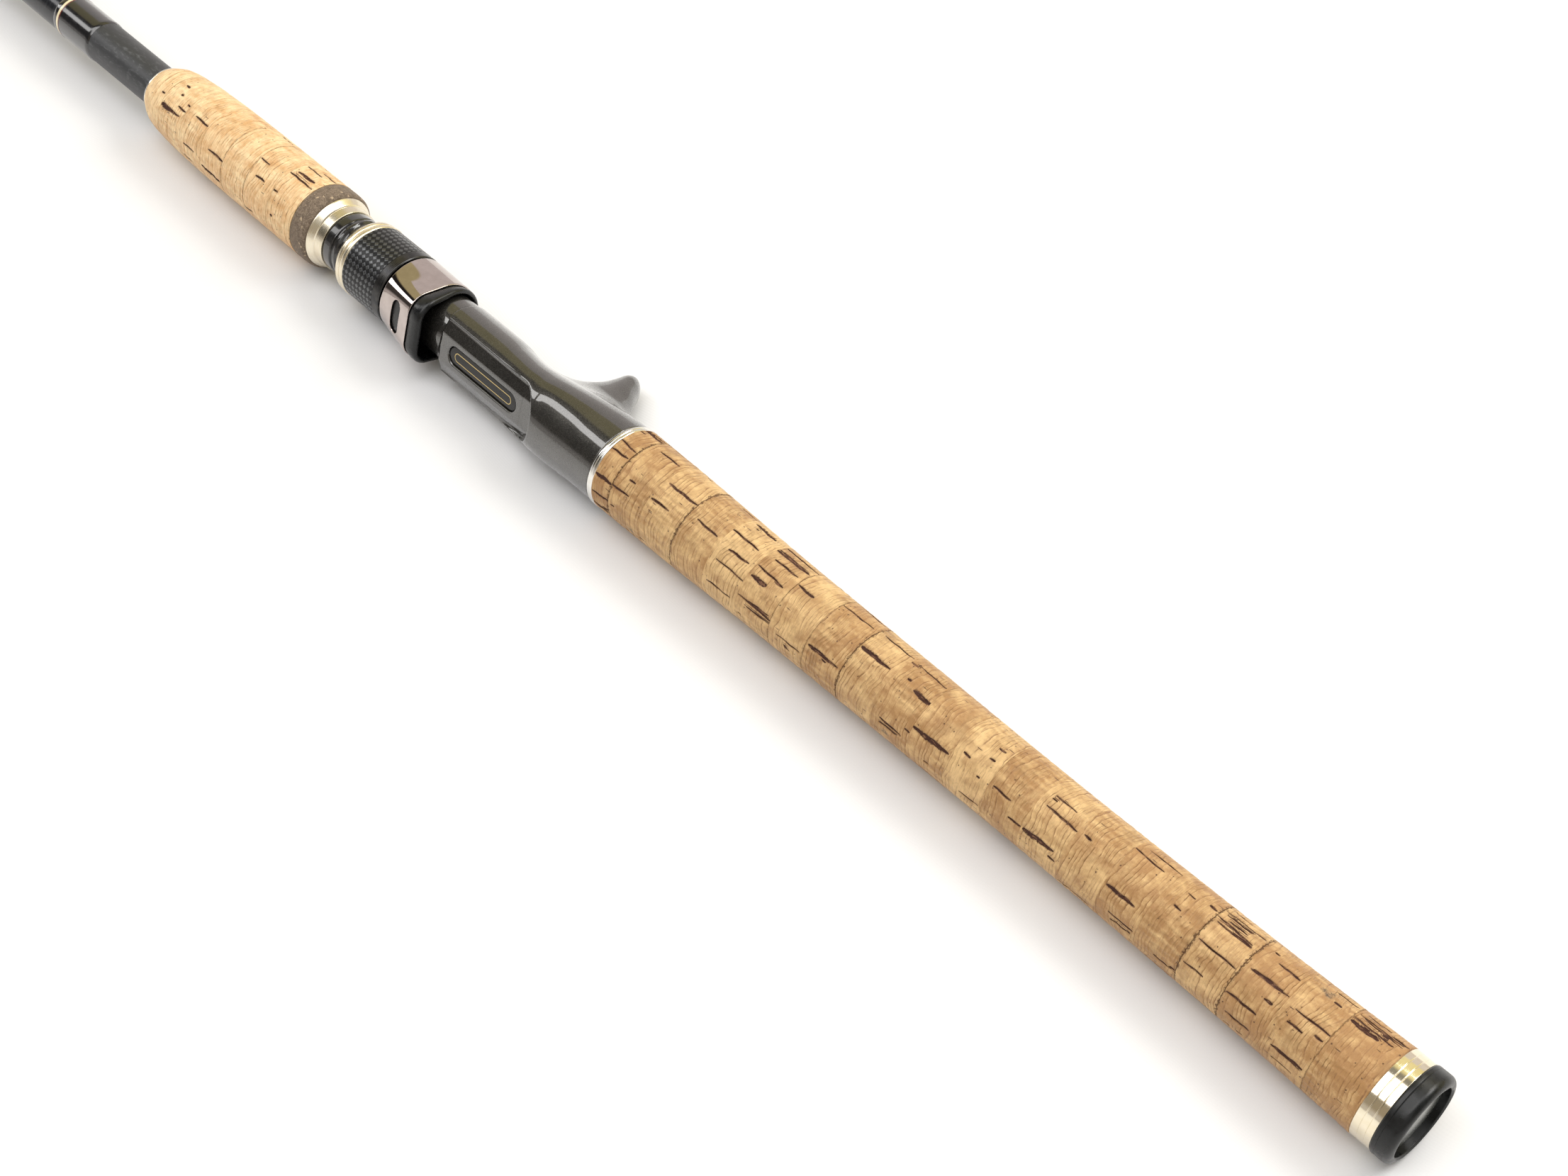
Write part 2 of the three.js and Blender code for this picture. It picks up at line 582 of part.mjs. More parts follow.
addButt();
addRearGrip();
addSeat();
addHood();
addNut();
addForeGrip();
addBlank();
for (let index = 0; index <= GUIDE_COUNT; index++) addGuide(index);

// Lay the rod down and put the origin under the middle of its box.
rod.rotation.x = degToRad(ROLL_DEG);
rod.updateMatrixWorld(true);
const box = new THREE.Box3().setFromObject(rod, true);
const centre = box.getCenter(new THREE.Vector3());
rod.position.set(-centre.x, -centre.y, -box.min.z);

const root = new THREE.Group();
root.add(rod);
export default root;
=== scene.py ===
import json
import math

import bmesh
import bpy
import numpy as np
from mathutils import Matrix, Vector


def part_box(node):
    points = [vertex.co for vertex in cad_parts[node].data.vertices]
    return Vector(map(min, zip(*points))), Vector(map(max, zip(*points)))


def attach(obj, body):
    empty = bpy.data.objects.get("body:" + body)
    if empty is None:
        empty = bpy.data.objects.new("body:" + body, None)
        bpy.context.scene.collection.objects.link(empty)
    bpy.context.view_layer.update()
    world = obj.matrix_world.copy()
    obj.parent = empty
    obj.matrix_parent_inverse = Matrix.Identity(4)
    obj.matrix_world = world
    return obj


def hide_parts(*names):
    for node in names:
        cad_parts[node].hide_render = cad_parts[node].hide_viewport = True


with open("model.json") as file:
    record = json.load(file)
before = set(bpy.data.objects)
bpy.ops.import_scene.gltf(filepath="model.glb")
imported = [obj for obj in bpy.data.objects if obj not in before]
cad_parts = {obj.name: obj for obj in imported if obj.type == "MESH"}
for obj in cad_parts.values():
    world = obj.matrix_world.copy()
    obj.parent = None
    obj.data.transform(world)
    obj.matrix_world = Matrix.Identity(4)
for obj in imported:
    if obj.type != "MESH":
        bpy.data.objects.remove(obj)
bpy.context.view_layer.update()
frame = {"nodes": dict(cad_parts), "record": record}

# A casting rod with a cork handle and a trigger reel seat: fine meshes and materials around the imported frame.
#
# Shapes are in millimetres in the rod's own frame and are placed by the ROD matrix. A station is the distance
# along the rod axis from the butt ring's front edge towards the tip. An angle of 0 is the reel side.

MM = 0.001

# ---- Stations and radii that the CAD model has too ----
BUTT_END = -11
BUTT_RING_START = -5.5
BUTT_CAP_RADIUS = 12.3
BUTT_RING_RADIUS = 12.1
FIRST_CORK_RING = 14
CORK_RING = 12.7
REAR_CORK_END = 262.2
REAR_CHECK_RADIUS = 13.03
SEAT_START = 264.4
ARCH_FRONT = 290.5
SHOULDER = 335.6
HOOD_REAR = 341
SHELL_REAR = 346.4
HOOD_FRONT = 361.5
NUT_REAR = 362.3
SLEEVE_REAR = 365.8
SLEEVE_FRONT = 380.2
NUT_FRONT = 385
CONE_REAR = 393.8
CONE_FLANGE = 397.1
BURL_START = 399.5
FORE_CORK_START = 406.7
FORE_CORK_END = 494
FORE_RING_COUNT = 7
REAR_RING_COUNT = 21
BORE = 7.4
BARREL_RADIUS = 9.5
THREAD_ROOT = 9.1
THREAD_CREST = 9.8
THREAD_LEAD = 3
THREAD_START = 361
THREAD_END = 392
SLIDING_BORE = 10.15
NUT_BORE = 10.1
NUT_RADIUS = 12.1
NUT_CORE_RADIUS = 10.9
POCKET_LENGTH = 15
LIP_SLANT = 3.2
SEAT_FLOOR = 9.6
SLOT = (300.3, 331.3)
SLOT_HALF_WIDTH = 3
SLOT_MIDDLE = sum(SLOT) / 2
SLOT_STRAIGHT = (SLOT[1] - SLOT[0]) / 2 - SLOT_HALF_WIDTH
SLOT_FLOOR = 8.1
BLANK_RADIUS = 7.1
BLANK_TIP_RADIUS = 1.1
TAPER_START = 560
TIP_END = 1969
GUIDE_COUNT = 7
BARE_BLANK_END = 531
TRIM_END = 549.5


# ---- The rod's own frame ----
def rod_matrix():
    mounts = {m["name"]: m for m in frame["record"]["mounts"]}
    reel = Vector(mounts["reel_foot_rest"]["axis"])
    butt_wards = Vector((1, 0, 0))
    side = reel.cross(butt_wards)
    low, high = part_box("blank")
    middle = (low + high) / 2
    origin = Vector((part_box("butt_ring")[0].x, middle.y, middle.z))
    matrix = Matrix((butt_wards, side, reel)).transposed().to_4x4()
    matrix.translation = origin
    return matrix


ROD = rod_matrix()
ROD_TURN = ROD.to_3x3().to_4x4()
ROD_PLACE = Matrix.Translation(ROD.translation)


def from_station(station):
    """World point on the rod axis."""
    return ROD @ Vector((-station * MM, 0, 0))


# ---- Node materials ----
class Wire:
    """A value that a node gives out. Arithmetic and comparisons with it add math nodes."""

    def __init__(self, nodes, socket):
        self.nodes = nodes
        self.socket = socket

    def __add__(self, other):
        return self.nodes.math("ADD", self, other)

    def __sub__(self, other):
        return self.nodes.math("SUBTRACT", self, other)

    def __rsub__(self, other):
        return self.nodes.math("SUBTRACT", other, self)

    def __mul__(self, other):
        return self.nodes.math("MULTIPLY", self, other)

    def __truediv__(self, other):
        return self.nodes.math("DIVIDE", self, other)

    def __pow__(self, other):
        return self.nodes.math("POWER", self, other)

    def __mod__(self, other):
        return self.nodes.math("FLOORED_MODULO", self, other)

    def __lt__(self, other):
        return self.nodes.math("LESS_THAN", self, other)

    def __gt__(self, other):
        return self.nodes.math("GREATER_THAN", self, other)

    def __abs__(self):
        return self.nodes.math("ABSOLUTE", self)


class Nodes:
    """Short calls that add a node to a tree and return the wire from one of its outputs."""

    def __init__(self, tree):
        self.tree = tree

    def node(self, kind, inputs=None, output=0, **settings):
        made = self.tree.nodes.new("ShaderNode" + kind)
        for key, value in settings.items():
            setattr(made, key, value)
        for key, value in (inputs or {}).items():
            self.feed(made.inputs[key], value)
        return Wire(self, made.outputs[output])

    def feed(self, socket, value):
        if isinstance(value, Wire):
            self.tree.links.new(value.socket, socket)
        elif isinstance(value, tuple) and len(value) == 3 and socket.type == "RGBA":
            socket.default_value = (*value, 1)
        else:
            socket.default_value = value

    def attribute(self, name, output="Fac"):
        return self.node("Attribute", output=output, attribute_name=name)

    def place(self):
        """Coordinates in millimetres in the piece's own frame."""
        return self.times(self.node("TexCoord", output="Object"), (1 / MM, 1 / MM, 1 / MM))

    def times(self, vector, factors):
        return self.node("VectorMath", {0: vector, 1: factors}, operation="MULTIPLY")

    def plus(self, a, b):
        return self.node("VectorMath", {0: a, 1: b}, operation="ADD")

    def axis(self, vector, letter):
        return self.node("SeparateXYZ", {0: vector}, letter)

    def channel(self, color, number):
        return self.node("SeparateColor", {0: color}, number)

    def math(self, operation, a, b=0.0):
        return self.node("Math", {0: a, 1: b}, operation=operation)

    def ranged(self, value, low, high, to_low=0.0, to_high=1.0, smooth=True):
        kind = "SMOOTHSTEP" if smooth else "LINEAR"
        inputs = {"Value": value, "From Min": low, "From Max": high, "To Min": to_low, "To Max": to_high}
        return self.node("MapRange", inputs, "Result", interpolation_type=kind)

    def mix(self, factor, a, b):
        return self.node("Mix", {0: factor, 6: a, 7: b}, 2, data_type="RGBA")

    def noise(self, vector, scale=1.0, detail=3.0, roughness=0.5, distortion=0.0, output=0):
        """Clouds. The scale is one number, or one for each axis."""
        if isinstance(scale, tuple):
            vector = self.times(vector, scale)
            scale = 1.0
        inputs = {"Vector": vector, "Scale": scale, "Detail": detail, "Roughness": roughness,
                  "Distortion": distortion}
        return self.node("TexNoise", inputs, output)

    def bent(self, vector, scale, detail, amount):
        """The coordinates, moved up to that far by clouds."""
        return self.plus(vector, self.times(self.noise(vector, scale, detail, output=1), (amount,) * 3))

    def cells(self, vector, scale=1.0, output="Distance"):
        return self.node("TexVoronoi", {"Vector": vector, "Scale": scale}, output)

    def spots(self, vector, scale, inner, outer, number, rarity):
        """A soft-edged spot in each cell whose own colour has that channel above the rarity."""
        chosen = self.channel(self.cells(vector, scale, "Color"), number) > rarity
        return self.ranged(self.cells(vector, scale), inner, outer, 1, 0) * chosen


class Shader(Nodes):
    """A node material on the Principled BSDF."""

    def __init__(self, name):
        self.material = bpy.data.materials.new(name)
        self.material.use_nodes = True
        super().__init__(self.material.node_tree)
        self.surface = self.tree.nodes["Principled BSDF"]

    def set(self, **values):
        for key, value in values.items():
            self.feed(self.surface.inputs[key.replace("_", " ").title().replace("Ior", "IOR")], value)

    def bump(self, height, depth_mm, strength=1.0, layer="Normal"):
        """Gives the surface a relief whose height of 1 stands for depth_mm."""
        inputs = {"Height": height, "Distance": depth_mm * MM, "Strength": strength}
        self.feed(self.surface.inputs[layer], self.node("Bump", inputs))


def lighter(color, factor, lift):
    return tuple(c * factor + lift for c in color)


# Cork colours. Each grip's pair is its tan and its cream.
REAR_CORK = ((0.40, 0.215, 0.08), (0.74, 0.50, 0.235))
FORE_CORK = ((0.70, 0.39, 0.16), (0.97, 0.74, 0.43))
GREY_CAST = (0.8, 0.88, 0.95)
CORK_LINE = (0.22, 0.1, 0.042)
SLIT_DARK = (0.055, 0.019, 0.011)
SLIT_BARK = (0.26, 0.13, 0.07)
SLIT_RIM = (0.27, 0.125, 0.055)
THIN_SLIT = (0.09, 0.034, 0.018)
PORE = (0.1, 0.04, 0.02)
JOINT = (0.12, 0.05, 0.025)
KNOT_DARK = (0.055, 0.035, 0.024)
KNOT_PALE = (0.33, 0.235, 0.14)
# Millimetres between growth bands, radians of a fold per millimetre, and the relief's depth in millimetres.
GROWTH_BAND = 1.45
FOLD_FREQUENCY = 3.4
CORK_RELIEF = 0.32


def cork_ground(s, grain, tan, cream):
    """Growth bands across the axis, quilted folds and clouds: their colour, with painted light and shade on the
    folds, their relief, and the clouds.
    """
    wander = s.noise(grain, (0.05, 0.09, 0.09), 2)
    ripple = s.noise(grain, (0.5, 0.7, 0.7), 3, 0.6)
    drift = wander * 5.0 + ripple * 0.55
    reach = s.axis(grain, "X") + drift
    uneven = reach + s.math("SINE", reach * 0.9) * 0.6
    band = s.math("FRACT", uneven / GROWTH_BAND)
    band_patch = s.ranged(s.noise(grain, 0.11, 2), 0.35, 0.6, 0.25, 1)
    line_patch = band_patch * s.ranged(s.noise(grain, 0.6, 3), 0.4, 0.6)
    line = s.ranged(band, 0.02, 0.17, 1, 0) * line_patch

    fold = s.math("SINE", (s.axis(grain, "Y") + ripple * 1.6) * FOLD_FREQUENCY)
    cross = s.math("SINE", band * (2 * math.pi))
    quilt_patch = s.ranged(s.noise(grain, (0.04, 0.07, 0.07), 1), 0.42, 0.56, 0.15, 1)
    fold_relief_and_shade = (fold + cross) * 0.5 * quilt_patch

    clouds = s.noise(grain, (0.22, 0.3, 0.3), 6, 0.62)
    tone = s.attribute("tone") + s.ranged(clouds, 0.25, 0.75, -0.8, 0.8, smooth=False)
    # The quilted folds also go into the tone as painted light and shade on their slopes, besides their relief.
    tone = tone + fold_relief_and_shade * 0.3 - (1.0 - band) ** 2.2 * (band_patch * 0.75) + 0.12
    fine = s.noise(grain, (3.2, 0.35, 0.35), 4, 0.65)
    grey = s.ranged(s.noise(grain, (0.16, 0.12, 0.12), 5, 0.7), 0.52, 0.7, 0, 0.4)
    color = s.mix(s.ranged(tone, -0.1, 1.1, smooth=False), tan, cream)
    color = s.mix(s.ranged(fine, 0.48, 0.75, 0, 0.5), color, CORK_LINE)
    color = s.mix(line * 0.75, color, CORK_LINE)
    color = s.mix(grey, color, tuple(c * cast for c, cast in zip(tan, GREY_CAST)))

    relief = fold_relief_and_shade * 0.5 + fine * 0.5 - line * 0.5 + s.noise(grain, 2.4, 4, 0.65) * 0.35
    return color, relief, clouds


def cork_material(name, tan, cream):
    """Cork with slits and pores along the axis, knots and crumbly ring joints."""
    s = Shader(name)
    grain = s.attribute("grain", "Vector")
    color, relief, clouds = cork_ground(s, grain, tan, cream)

    ragged = s.noise(grain, (1.2, 2.2, 2.2), 6, 0.78)
    place = s.attribute("slit", "Vector")
    share, across, half = [s.axis(place, letter) for letter in "XYZ"]
    room = s.math("MAXIMUM", 1.0 - share * share, 0.0)
    wide = half * room ** 0.33 * s.ranged(ragged, 0.28, 0.68, 0.25, 1.4, smooth=False)
    beyond = abs(across) - wide + s.ranged(ragged, 0.3, 0.7, -0.11, 0.11, smooth=False)
    close = (s.attribute("near") < 0.6) * (room > 0.001)
    pit = s.ranged(beyond, -0.05, 0.05, 1, 0) * close
    rim = s.ranged(beyond, 0.0, 0.35, 0.5, 0) * close
    bark = s.ranged(s.noise(grain, (0.5, 1.6, 1.6), 5, 0.7), 0.5, 0.68)

    shove = s.times(s.noise(grain, 1.1, 2, output=1), (0, 0.25, 0.25))
    thin_slit = s.spots(s.plus(s.times(grain, (0.16, 1.3, 1.3)), shove), 1.0, 0.1, 0.16, 0, 0.88)
    pore = s.spots(s.bent(grain, 2.0, 2, 0.4), 0.8, 0.12, 0.2, 1, 0.9)

    crumble = s.attribute("crumble")
    crumbs = crumble * s.ranged(s.noise(grain, 1.5, 4, 0.7), 0.46, 0.62)
    joint = s.ranged(s.attribute("joint") - (crumbs * 0.55 + 0.05), -0.06, 0.03, 1, 0)
    joint = joint * (crumble * 0.75 + 0.15) * s.ranged(ragged, 0.35, 0.6, 0.4, 1)

    knot_grain = s.noise(grain, 1.2, 6, 0.78, 0.8)
    knot_color = s.mix(s.ranged(knot_grain, 0.4, 0.6), KNOT_DARK, KNOT_PALE)
    color = s.mix(s.attribute("knot") * s.ranged(knot_grain, 0.35, 0.65, 1, 0.3), color, knot_color)
    pit_color = s.mix(bark, SLIT_DARK, SLIT_BARK)
    for mark, cover, mark_color, depth in ((joint, 1.0, JOINT, 0.7), (rim, 1.0, SLIT_RIM, 0.0),
                                           (pore, 0.85, PORE, 0.8), (thin_slit, 0.9, THIN_SLIT, 0.7),
                                           (pit, 1.0, pit_color, 1.4)):
        color = s.mix(mark * cover, color, mark_color)
        relief = relief - mark * depth
    dull = s.math("MAXIMUM", pit, joint)
    s.set(Base_Color=color, Specular_IOR_Level=0.42)
    s.set(Roughness=s.ranged(clouds, 0.3, 0.7, 0.42, 0.58) + dull * 0.35)
    s.bump(relief, CORK_RELIEF)
    return s.material


def burl_material():
    """Pressed rubber and cork crumbs: grey-brown grains with longish pale specks."""
    s = Shader("burl_cork")
    place = s.place()
    bent = s.bent(place, 0.8, 3, 1.6)
    crumb = s.channel(s.cells(bent, 2.3, "Color"), 0)
    grit = s.noise(place, 3.2, 4, 0.7)
    color = s.mix(crumb, (0.115, 0.08, 0.052), (0.27, 0.205, 0.145))
    color = s.mix(s.spots(bent, 0.7, 0.2, 0.36, 1, 0.8) * 0.85, color, (0.56, 0.43, 0.28))
    color = s.mix(s.ranged(grit, 0.52, 0.7, 0, 0.8), color, (0.05, 0.034, 0.024))
    s.set(Base_Color=color, Roughness=s.ranged(crumb, 0, 1, 0.5, 0.72), Specular_IOR_Level=0.4)
    s.bump(s.noise(place, 2.2, 4, 0.6) - grit, 0.16)
    return s.material


# Between these stations a turned metal goes over from its own roughness to the front one.
SATIN_BACK = 200
SATIN_FRONT = 300


def turned_metal(name, color, warm, roughness, groove_depth, front_roughness=None):
    """Aluminium with the fine rings of a lathe tool."""
    s = Shader(name)
    place = s.place()
    rings = s.noise(place, (9, 0.02, 0.02), 3, 0.6)
    smear = s.noise(place, (0.3, 0.5, 0.5), 3)
    s.set(Base_Color=s.mix(s.ranged(smear, 0.35, 0.65), color, warm), Metallic=1.0)
    rough = s.ranged(rings, 0.3, 0.7, roughness * 0.75, roughness * 1.25)
    if front_roughness:
        more = front_roughness - roughness
        rough = rough + s.ranged(s.axis(place, "X"), -SATIN_FRONT, -SATIN_BACK, more, 0)
    s.set(Roughness=rough)
    s.bump(rings, groove_depth)
    return s.material


def hazy_material(name, colors, roughness, haze, color_range, rough_range, grain, depth_mm, **settings):
    """Clouds (haze) move the colour and the roughness between two values. A finer noise is the relief."""
    s = Shader(name)
    place = s.place()
    cloud = s.noise(place, *haze)
    s.set(Base_Color=s.mix(s.ranged(cloud, *color_range), *colors))
    s.set(Roughness=s.ranged(cloud, *rough_range, *roughness), **settings)
    s.bump(s.noise(place, *grain), depth_mm)
    return s.material


def rubber_material(name, color, roughness):
    colors = (color, lighter(color, 1.7, 0.002))
    return hazy_material(name, colors, (roughness - 0.06, roughness + 0.08), (0.5, 4, 0.6), (0.4, 0.75),
                         (0.3, 0.7), (5.0, 3, 0.6), 0.012, Specular_IOR_Level=0.36)


def gloss_black(name, color, roughness):
    colors = (color, lighter(color, 1.6, 0.003))
    return hazy_material(name, colors, (roughness * 0.8, roughness * 1.3), (0.35, 3), (0.35, 0.7), (0.3, 0.7),
                         (0.9, 2), 0.01, Coat_Weight=1.0, Coat_Roughness=0.03)


def smoke_chrome():
    colors = ((0.50, 0.435, 0.41), (0.56, 0.49, 0.465))
    return hazy_material("smoke_chrome", colors, (0.025, 0.06), (0.3, 4, 0.6), (0.3, 0.7), (0.3, 0.8),
                         ((0.5, 6, 6), 3), 0.0006, Metallic=1.0)


def butt_plate_material():
    colors = ((0.19, 0.196, 0.183), (0.25, 0.257, 0.24))
    return hazy_material("butt_plate", colors, (0.2, 0.27), ((0.2, 2.5, 0.6), 5, 0.6), (0.2, 0.8), (0.2, 0.8),
                         (6, 2), 0.004, Metallic=0.85)


def seat_paint():
    """Warm dark grey lacquer over fine metal flake, under a thick clear coat."""
    s = Shader("seat_paint")
    place = s.place()
    flake = s.cells(place, 8.0, "Color")
    cloud = s.noise(place, 0.16, 2)
    ground = s.mix(s.ranged(cloud, 0.35, 0.65), (0.037, 0.0352, 0.0318), (0.048, 0.0456, 0.0412))
    bright = s.ranged(s.channel(flake, 0), 0.6, 1.0) * 0.4
    s.set(Base_Color=s.mix(bright, ground, (0.18, 0.169, 0.15)))
    s.set(Metallic=0.85, Roughness=s.ranged(s.channel(flake, 1), 0, 1, 0.26, 0.4))
    s.set(Coat_Weight=1.0, Coat_Roughness=0.015, Coat_IOR=1.9)
    s.bump(s.channel(flake, 2), 0.007, 0.7)
    s.bump(cloud, 0.02, layer="Coat Normal")
    return s.material


WEAVE_COUNT = 42


def weave_material():
    """Carbon cloth wound at 45 degrees: each tow shows as a small glossy cushion where it lies on top."""
    s = Shader("carbon_weave")
    wrap = s.node("UVMap", uv_map="wrap")
    pitch = 2 * math.pi * NUT_RADIUS / WEAVE_COUNT
    along = s.axis(wrap, "Y") / pitch
    around = s.axis(wrap, "X") / pitch
    tows = (along + around, along - around)
    parity = (s.math("FLOOR", tows[0]) + s.math("FLOOR", tows[1])) % 2.0
    swell = [abs(s.math("SINE", tow * math.pi)) for tow in tows]
    crown = s.ranged(s.math("MINIMUM", *swell), 0.0, 0.6)
    lit = crown * parity
    fibres = s.noise(s.place(), 7, 2)
    s.set(Base_Color=s.mix(lit, (0.018, 0.0185, 0.02), (0.125, 0.129, 0.134)), Metallic=0.9)
    s.set(Roughness=s.mix(lit, s.ranged(fibres, 0.3, 0.7, 0.42, 0.55), (0.3, 0.3, 0.3)))
    s.bump(crown * s.ranged(parity, 0, 1, 0.5, 1, smooth=False), 0.07)
    s.set(Coat_Weight=0.3, Coat_Roughness=0.2)
    return s.material


def blank_material():
    """Bare, lightly scuffed carbon beside the foregrip and clear-coated carbon from the trim wrap on."""
    s = Shader("blank_carbon")
    place = s.place()
    gloss = s.ranged(s.axis(place, "X"), -BARE_BLANK_END - 1, -BARE_BLANK_END, 1, 0)
    scuff = s.ranged(s.noise(place, (0.35, 0.9, 0.9), 5, 0.7), 0.5, 0.72)
    spiral = s.noise(place, (1.1, 0.15, 0.15), 3)
    bare = s.mix(scuff, (0.04, 0.0415, 0.045), (0.11, 0.113, 0.118))
    coated = s.mix(s.ranged(spiral, 0.35, 0.7), (0.016, 0.017, 0.02), (0.03, 0.032, 0.037))
    s.set(Base_Color=s.mix(gloss, bare, coated), Metallic=0.15)
    s.set(Roughness=s.mix(gloss, s.ranged(scuff, 0, 1, 0.42, 0.62), (0.16, 0.16, 0.16)))
    s.bump(spiral + s.noise(place, 3, 3) * 0.6, 0.02)
    return s.material


def wrap_material(name, color, thread_pitch):
    """Thread wound round the blank under resin."""
    s = Shader(name)
    place = s.place()
    turns = s.math("SINE", s.axis(place, "X") * (2 * math.pi / thread_pitch))
    uneven = s.noise(place, 0.6, 2)
    s.set(Base_Color=s.mix(s.ranged(turns, -1, 1), color, lighter(color, 1.8, 0.004)))
    s.set(Roughness=s.ranged(uneven, 0.3, 0.7, 0.12, 0.2), Coat_Weight=1.0, Coat_Roughness=0.02)
    s.bump(uneven + turns * 0.12, 0.03)
    return s.material


def floor_material():
    """A white sheet with a barely visible weave."""
    s = Shader("floor_cloth")
    place = s.place()
    bent = s.bent(place, 0.03, 2, 14)
    warp, weft = [s.math("SINE", s.axis(bent, letter) * 7.5) for letter in "XY"]
    threads = (warp + weft) * 0.5
    tone = s.noise(place, 0.004, 3)
    shade = s.mix(s.ranged(tone, 0.3, 0.7), (0.77, 0.773, 0.79), (0.8, 0.803, 0.82))
    s.set(Base_Color=s.mix(s.ranged(threads, -1, 1, 0.02, 0), shade, (0.6, 0.6, 0.62)))
    s.set(Roughness=0.9, Specular_IOR_Level=0.1)
    s.bump(threads + s.noise(place, 1.4, 3), 0.008)
    return s.material


# ---- Mesh tools ----
def add_piece(name, mesh, material, body="rod"):
    mesh.transform(ROD_TURN)
    mesh.materials.append(material)
    obj = bpy.data.objects.new(name, mesh)
    bpy.context.scene.collection.objects.link(obj)
    obj.matrix_world = ROD_PLACE
    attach(obj, body)
    return obj


def add_fine(node, mesh, material, body="rod"):
    """A piece that is shown in place of a CAD node."""
    obj = add_piece(node + "_fine", mesh, material, body)
    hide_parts(node)
    return obj


def build_mesh(name, corners, faces, sharp_degrees=38):
    """A smooth-shaded mesh from corners in millimetres, with its faces turned outwards."""
    corners = np.asarray(corners, float)
    faces = np.asarray(faces)
    a, b, c = (corners[faces[:, k]] for k in range(3))
    d = corners[faces[:, -1]]
    volume = (np.einsum("ij,ij->i", a, np.cross(b, c)) + np.einsum("ij,ij->i", a, np.cross(c, d))).sum()
    if volume < 0:
        faces = faces[:, ::-1]
    mesh = bpy.data.meshes.new(name)
    mesh.from_pydata((corners * MM).tolist(), [], faces.tolist())
    mesh.shade_smooth()
    if sharp_degrees:
        mesh.set_sharp_from_angle(angle=math.radians(sharp_degrees))
    return mesh


def lathe_arrays(outline, segments):
    """Corners and quads of a solid turned about the rod axis from a closed outline of (station, radius)."""
    outline = np.asarray(outline, float)
    angle = np.arange(segments) * 2 * np.pi / segments - np.pi
    station = np.repeat(outline[:, 0], segments)
    radius = np.repeat(outline[:, 1], segments)
    angles = np.tile(angle, len(outline))
    corners = np.stack([-station, radius * np.sin(angles), radius * np.cos(angles)], 1)
    row = np.repeat(np.arange(len(outline)), segments)
    column = np.tile(np.arange(segments), len(outline))
    next_row, next_column = (row + 1) % len(outline), (column + 1) % segments
    faces = np.stack([row * segments + column, row * segments + next_column,
                      next_row * segments + next_column, next_row * segments + column], 1)
    return corners, faces, station, angles


def rounded(outline, radius, steps=4):
    """A closed outline with its corners rounded."""
    made = []
    points = [np.array(p, float) for p in outline]
    for i, p in enumerate(points):
        before, after = points[i - 1], points[(i + 1) % len(points)]
        back, on = before - p, after - p
        reach = min(radius, np.linalg.norm(back) * 0.45, np.linalg.norm(on) * 0.45)
        if reach < 1e-6:
            made.append(p)
            continue
        start = p + back / np.linalg.norm(back) * reach
        end = p + on / np.linalg.norm(on) * reach
        for k in range(steps + 1):
            f = k / steps
            made.append(start * (1 - f) ** 2 + 2 * p * f * (1 - f) + end * f ** 2)
    return made


def turned_mesh(name, outline, segments, radius=0):
    """A solid turned about the rod axis, with its edges rounded to the radius."""
    corners, faces, _, _ = lathe_arrays(rounded(outline, radius) if radius else outline, segments)
    mesh = build_mesh(name, corners, faces)
    work = bmesh.new()
    work.from_mesh(mesh)
    bmesh.ops.remove_doubles(work, verts=work.verts, dist=1e-7)
    work.to_mesh(mesh)
    work.free()
    add_wrap(mesh)
    return mesh


def add_wrap(mesh):
    """A UV map in millimetres: the arc round the rod at the nut's radius, and the station."""
    layer = mesh.uv_layers.new(name="wrap")
    count = len(mesh.loops)
    corner = np.empty(count, np.int32)
    mesh.loops.foreach_get("vertex_index", corner)
    spots = np.empty(len(mesh.vertices) * 3)
    mesh.vertices.foreach_get("co", spots)
    spots = spots.reshape(-1, 3)[corner] / MM
    angle = np.arctan2(spots[:, 1], spots[:, 2])
    for face in mesh.polygons:
        own = slice(face.loop_start, face.loop_start + face.loop_total)
        if angle[own].max() - angle[own].min() > np.pi:
            angle[own] = np.where(angle[own] < 0, angle[own] + 2 * np.pi, angle[own])
    layer.data.foreach_set("uv", np.stack([angle * NUT_RADIUS, -spots[:, 0]], 1).ravel())


def set_attribute(mesh, name, values):
    """A number or a vector for every corner of the mesh."""
    kind, field = ("FLOAT", "value") if values.ndim == 1 else ("FLOAT_VECTOR", "vector")
    data = mesh.attributes.new(name, kind, "POINT").data
    data.foreach_set(field, np.asarray(values, np.float32).ravel())


def through(points):
    """The value at a station on a smooth line through (station, value) points."""
    p = np.array(points, float)
    ends = np.vstack([p[:1], p, p[-1:]])
    f = np.linspace(0, 1, 24, endpoint=False)[:, None]
    parts = []
    for i in range(len(p) - 1):
        p0, p1, p2, p3 = ends[i:i + 4]
        v0, v1 = (p2 - p0) / 2, (p3 - p1) / 2
        cubic = 2 * p1 - 2 * p2 + v0 + v1
        square = 3 * p2 - 3 * p1 - 2 * v0 - v1
        parts.append(cubic * f ** 3 + square * f ** 2 + v0 * f + p1)
    line = np.vstack([*parts, p[-1:]])
    return lambda station: np.interp(station, line[:, 0], line[:, 1])


def smoothstep(value, low, high):
    f = np.clip((value - low) / (high - low), 0, 1)
    return f * f * (3 - 2 * f)


# ---- Shapes given by a field that is negative inside ----
def join(a, b, blend):
    h = np.clip(0.5 + 0.5 * (b - a) / blend, 0, 1)
    return b + (a - b) * h - blend * h * (1 - h)


def meet(a, b, blend):
    return -join(-a, -b, blend)


def cut(a, b, blend):
    return meet(a, -b, blend)


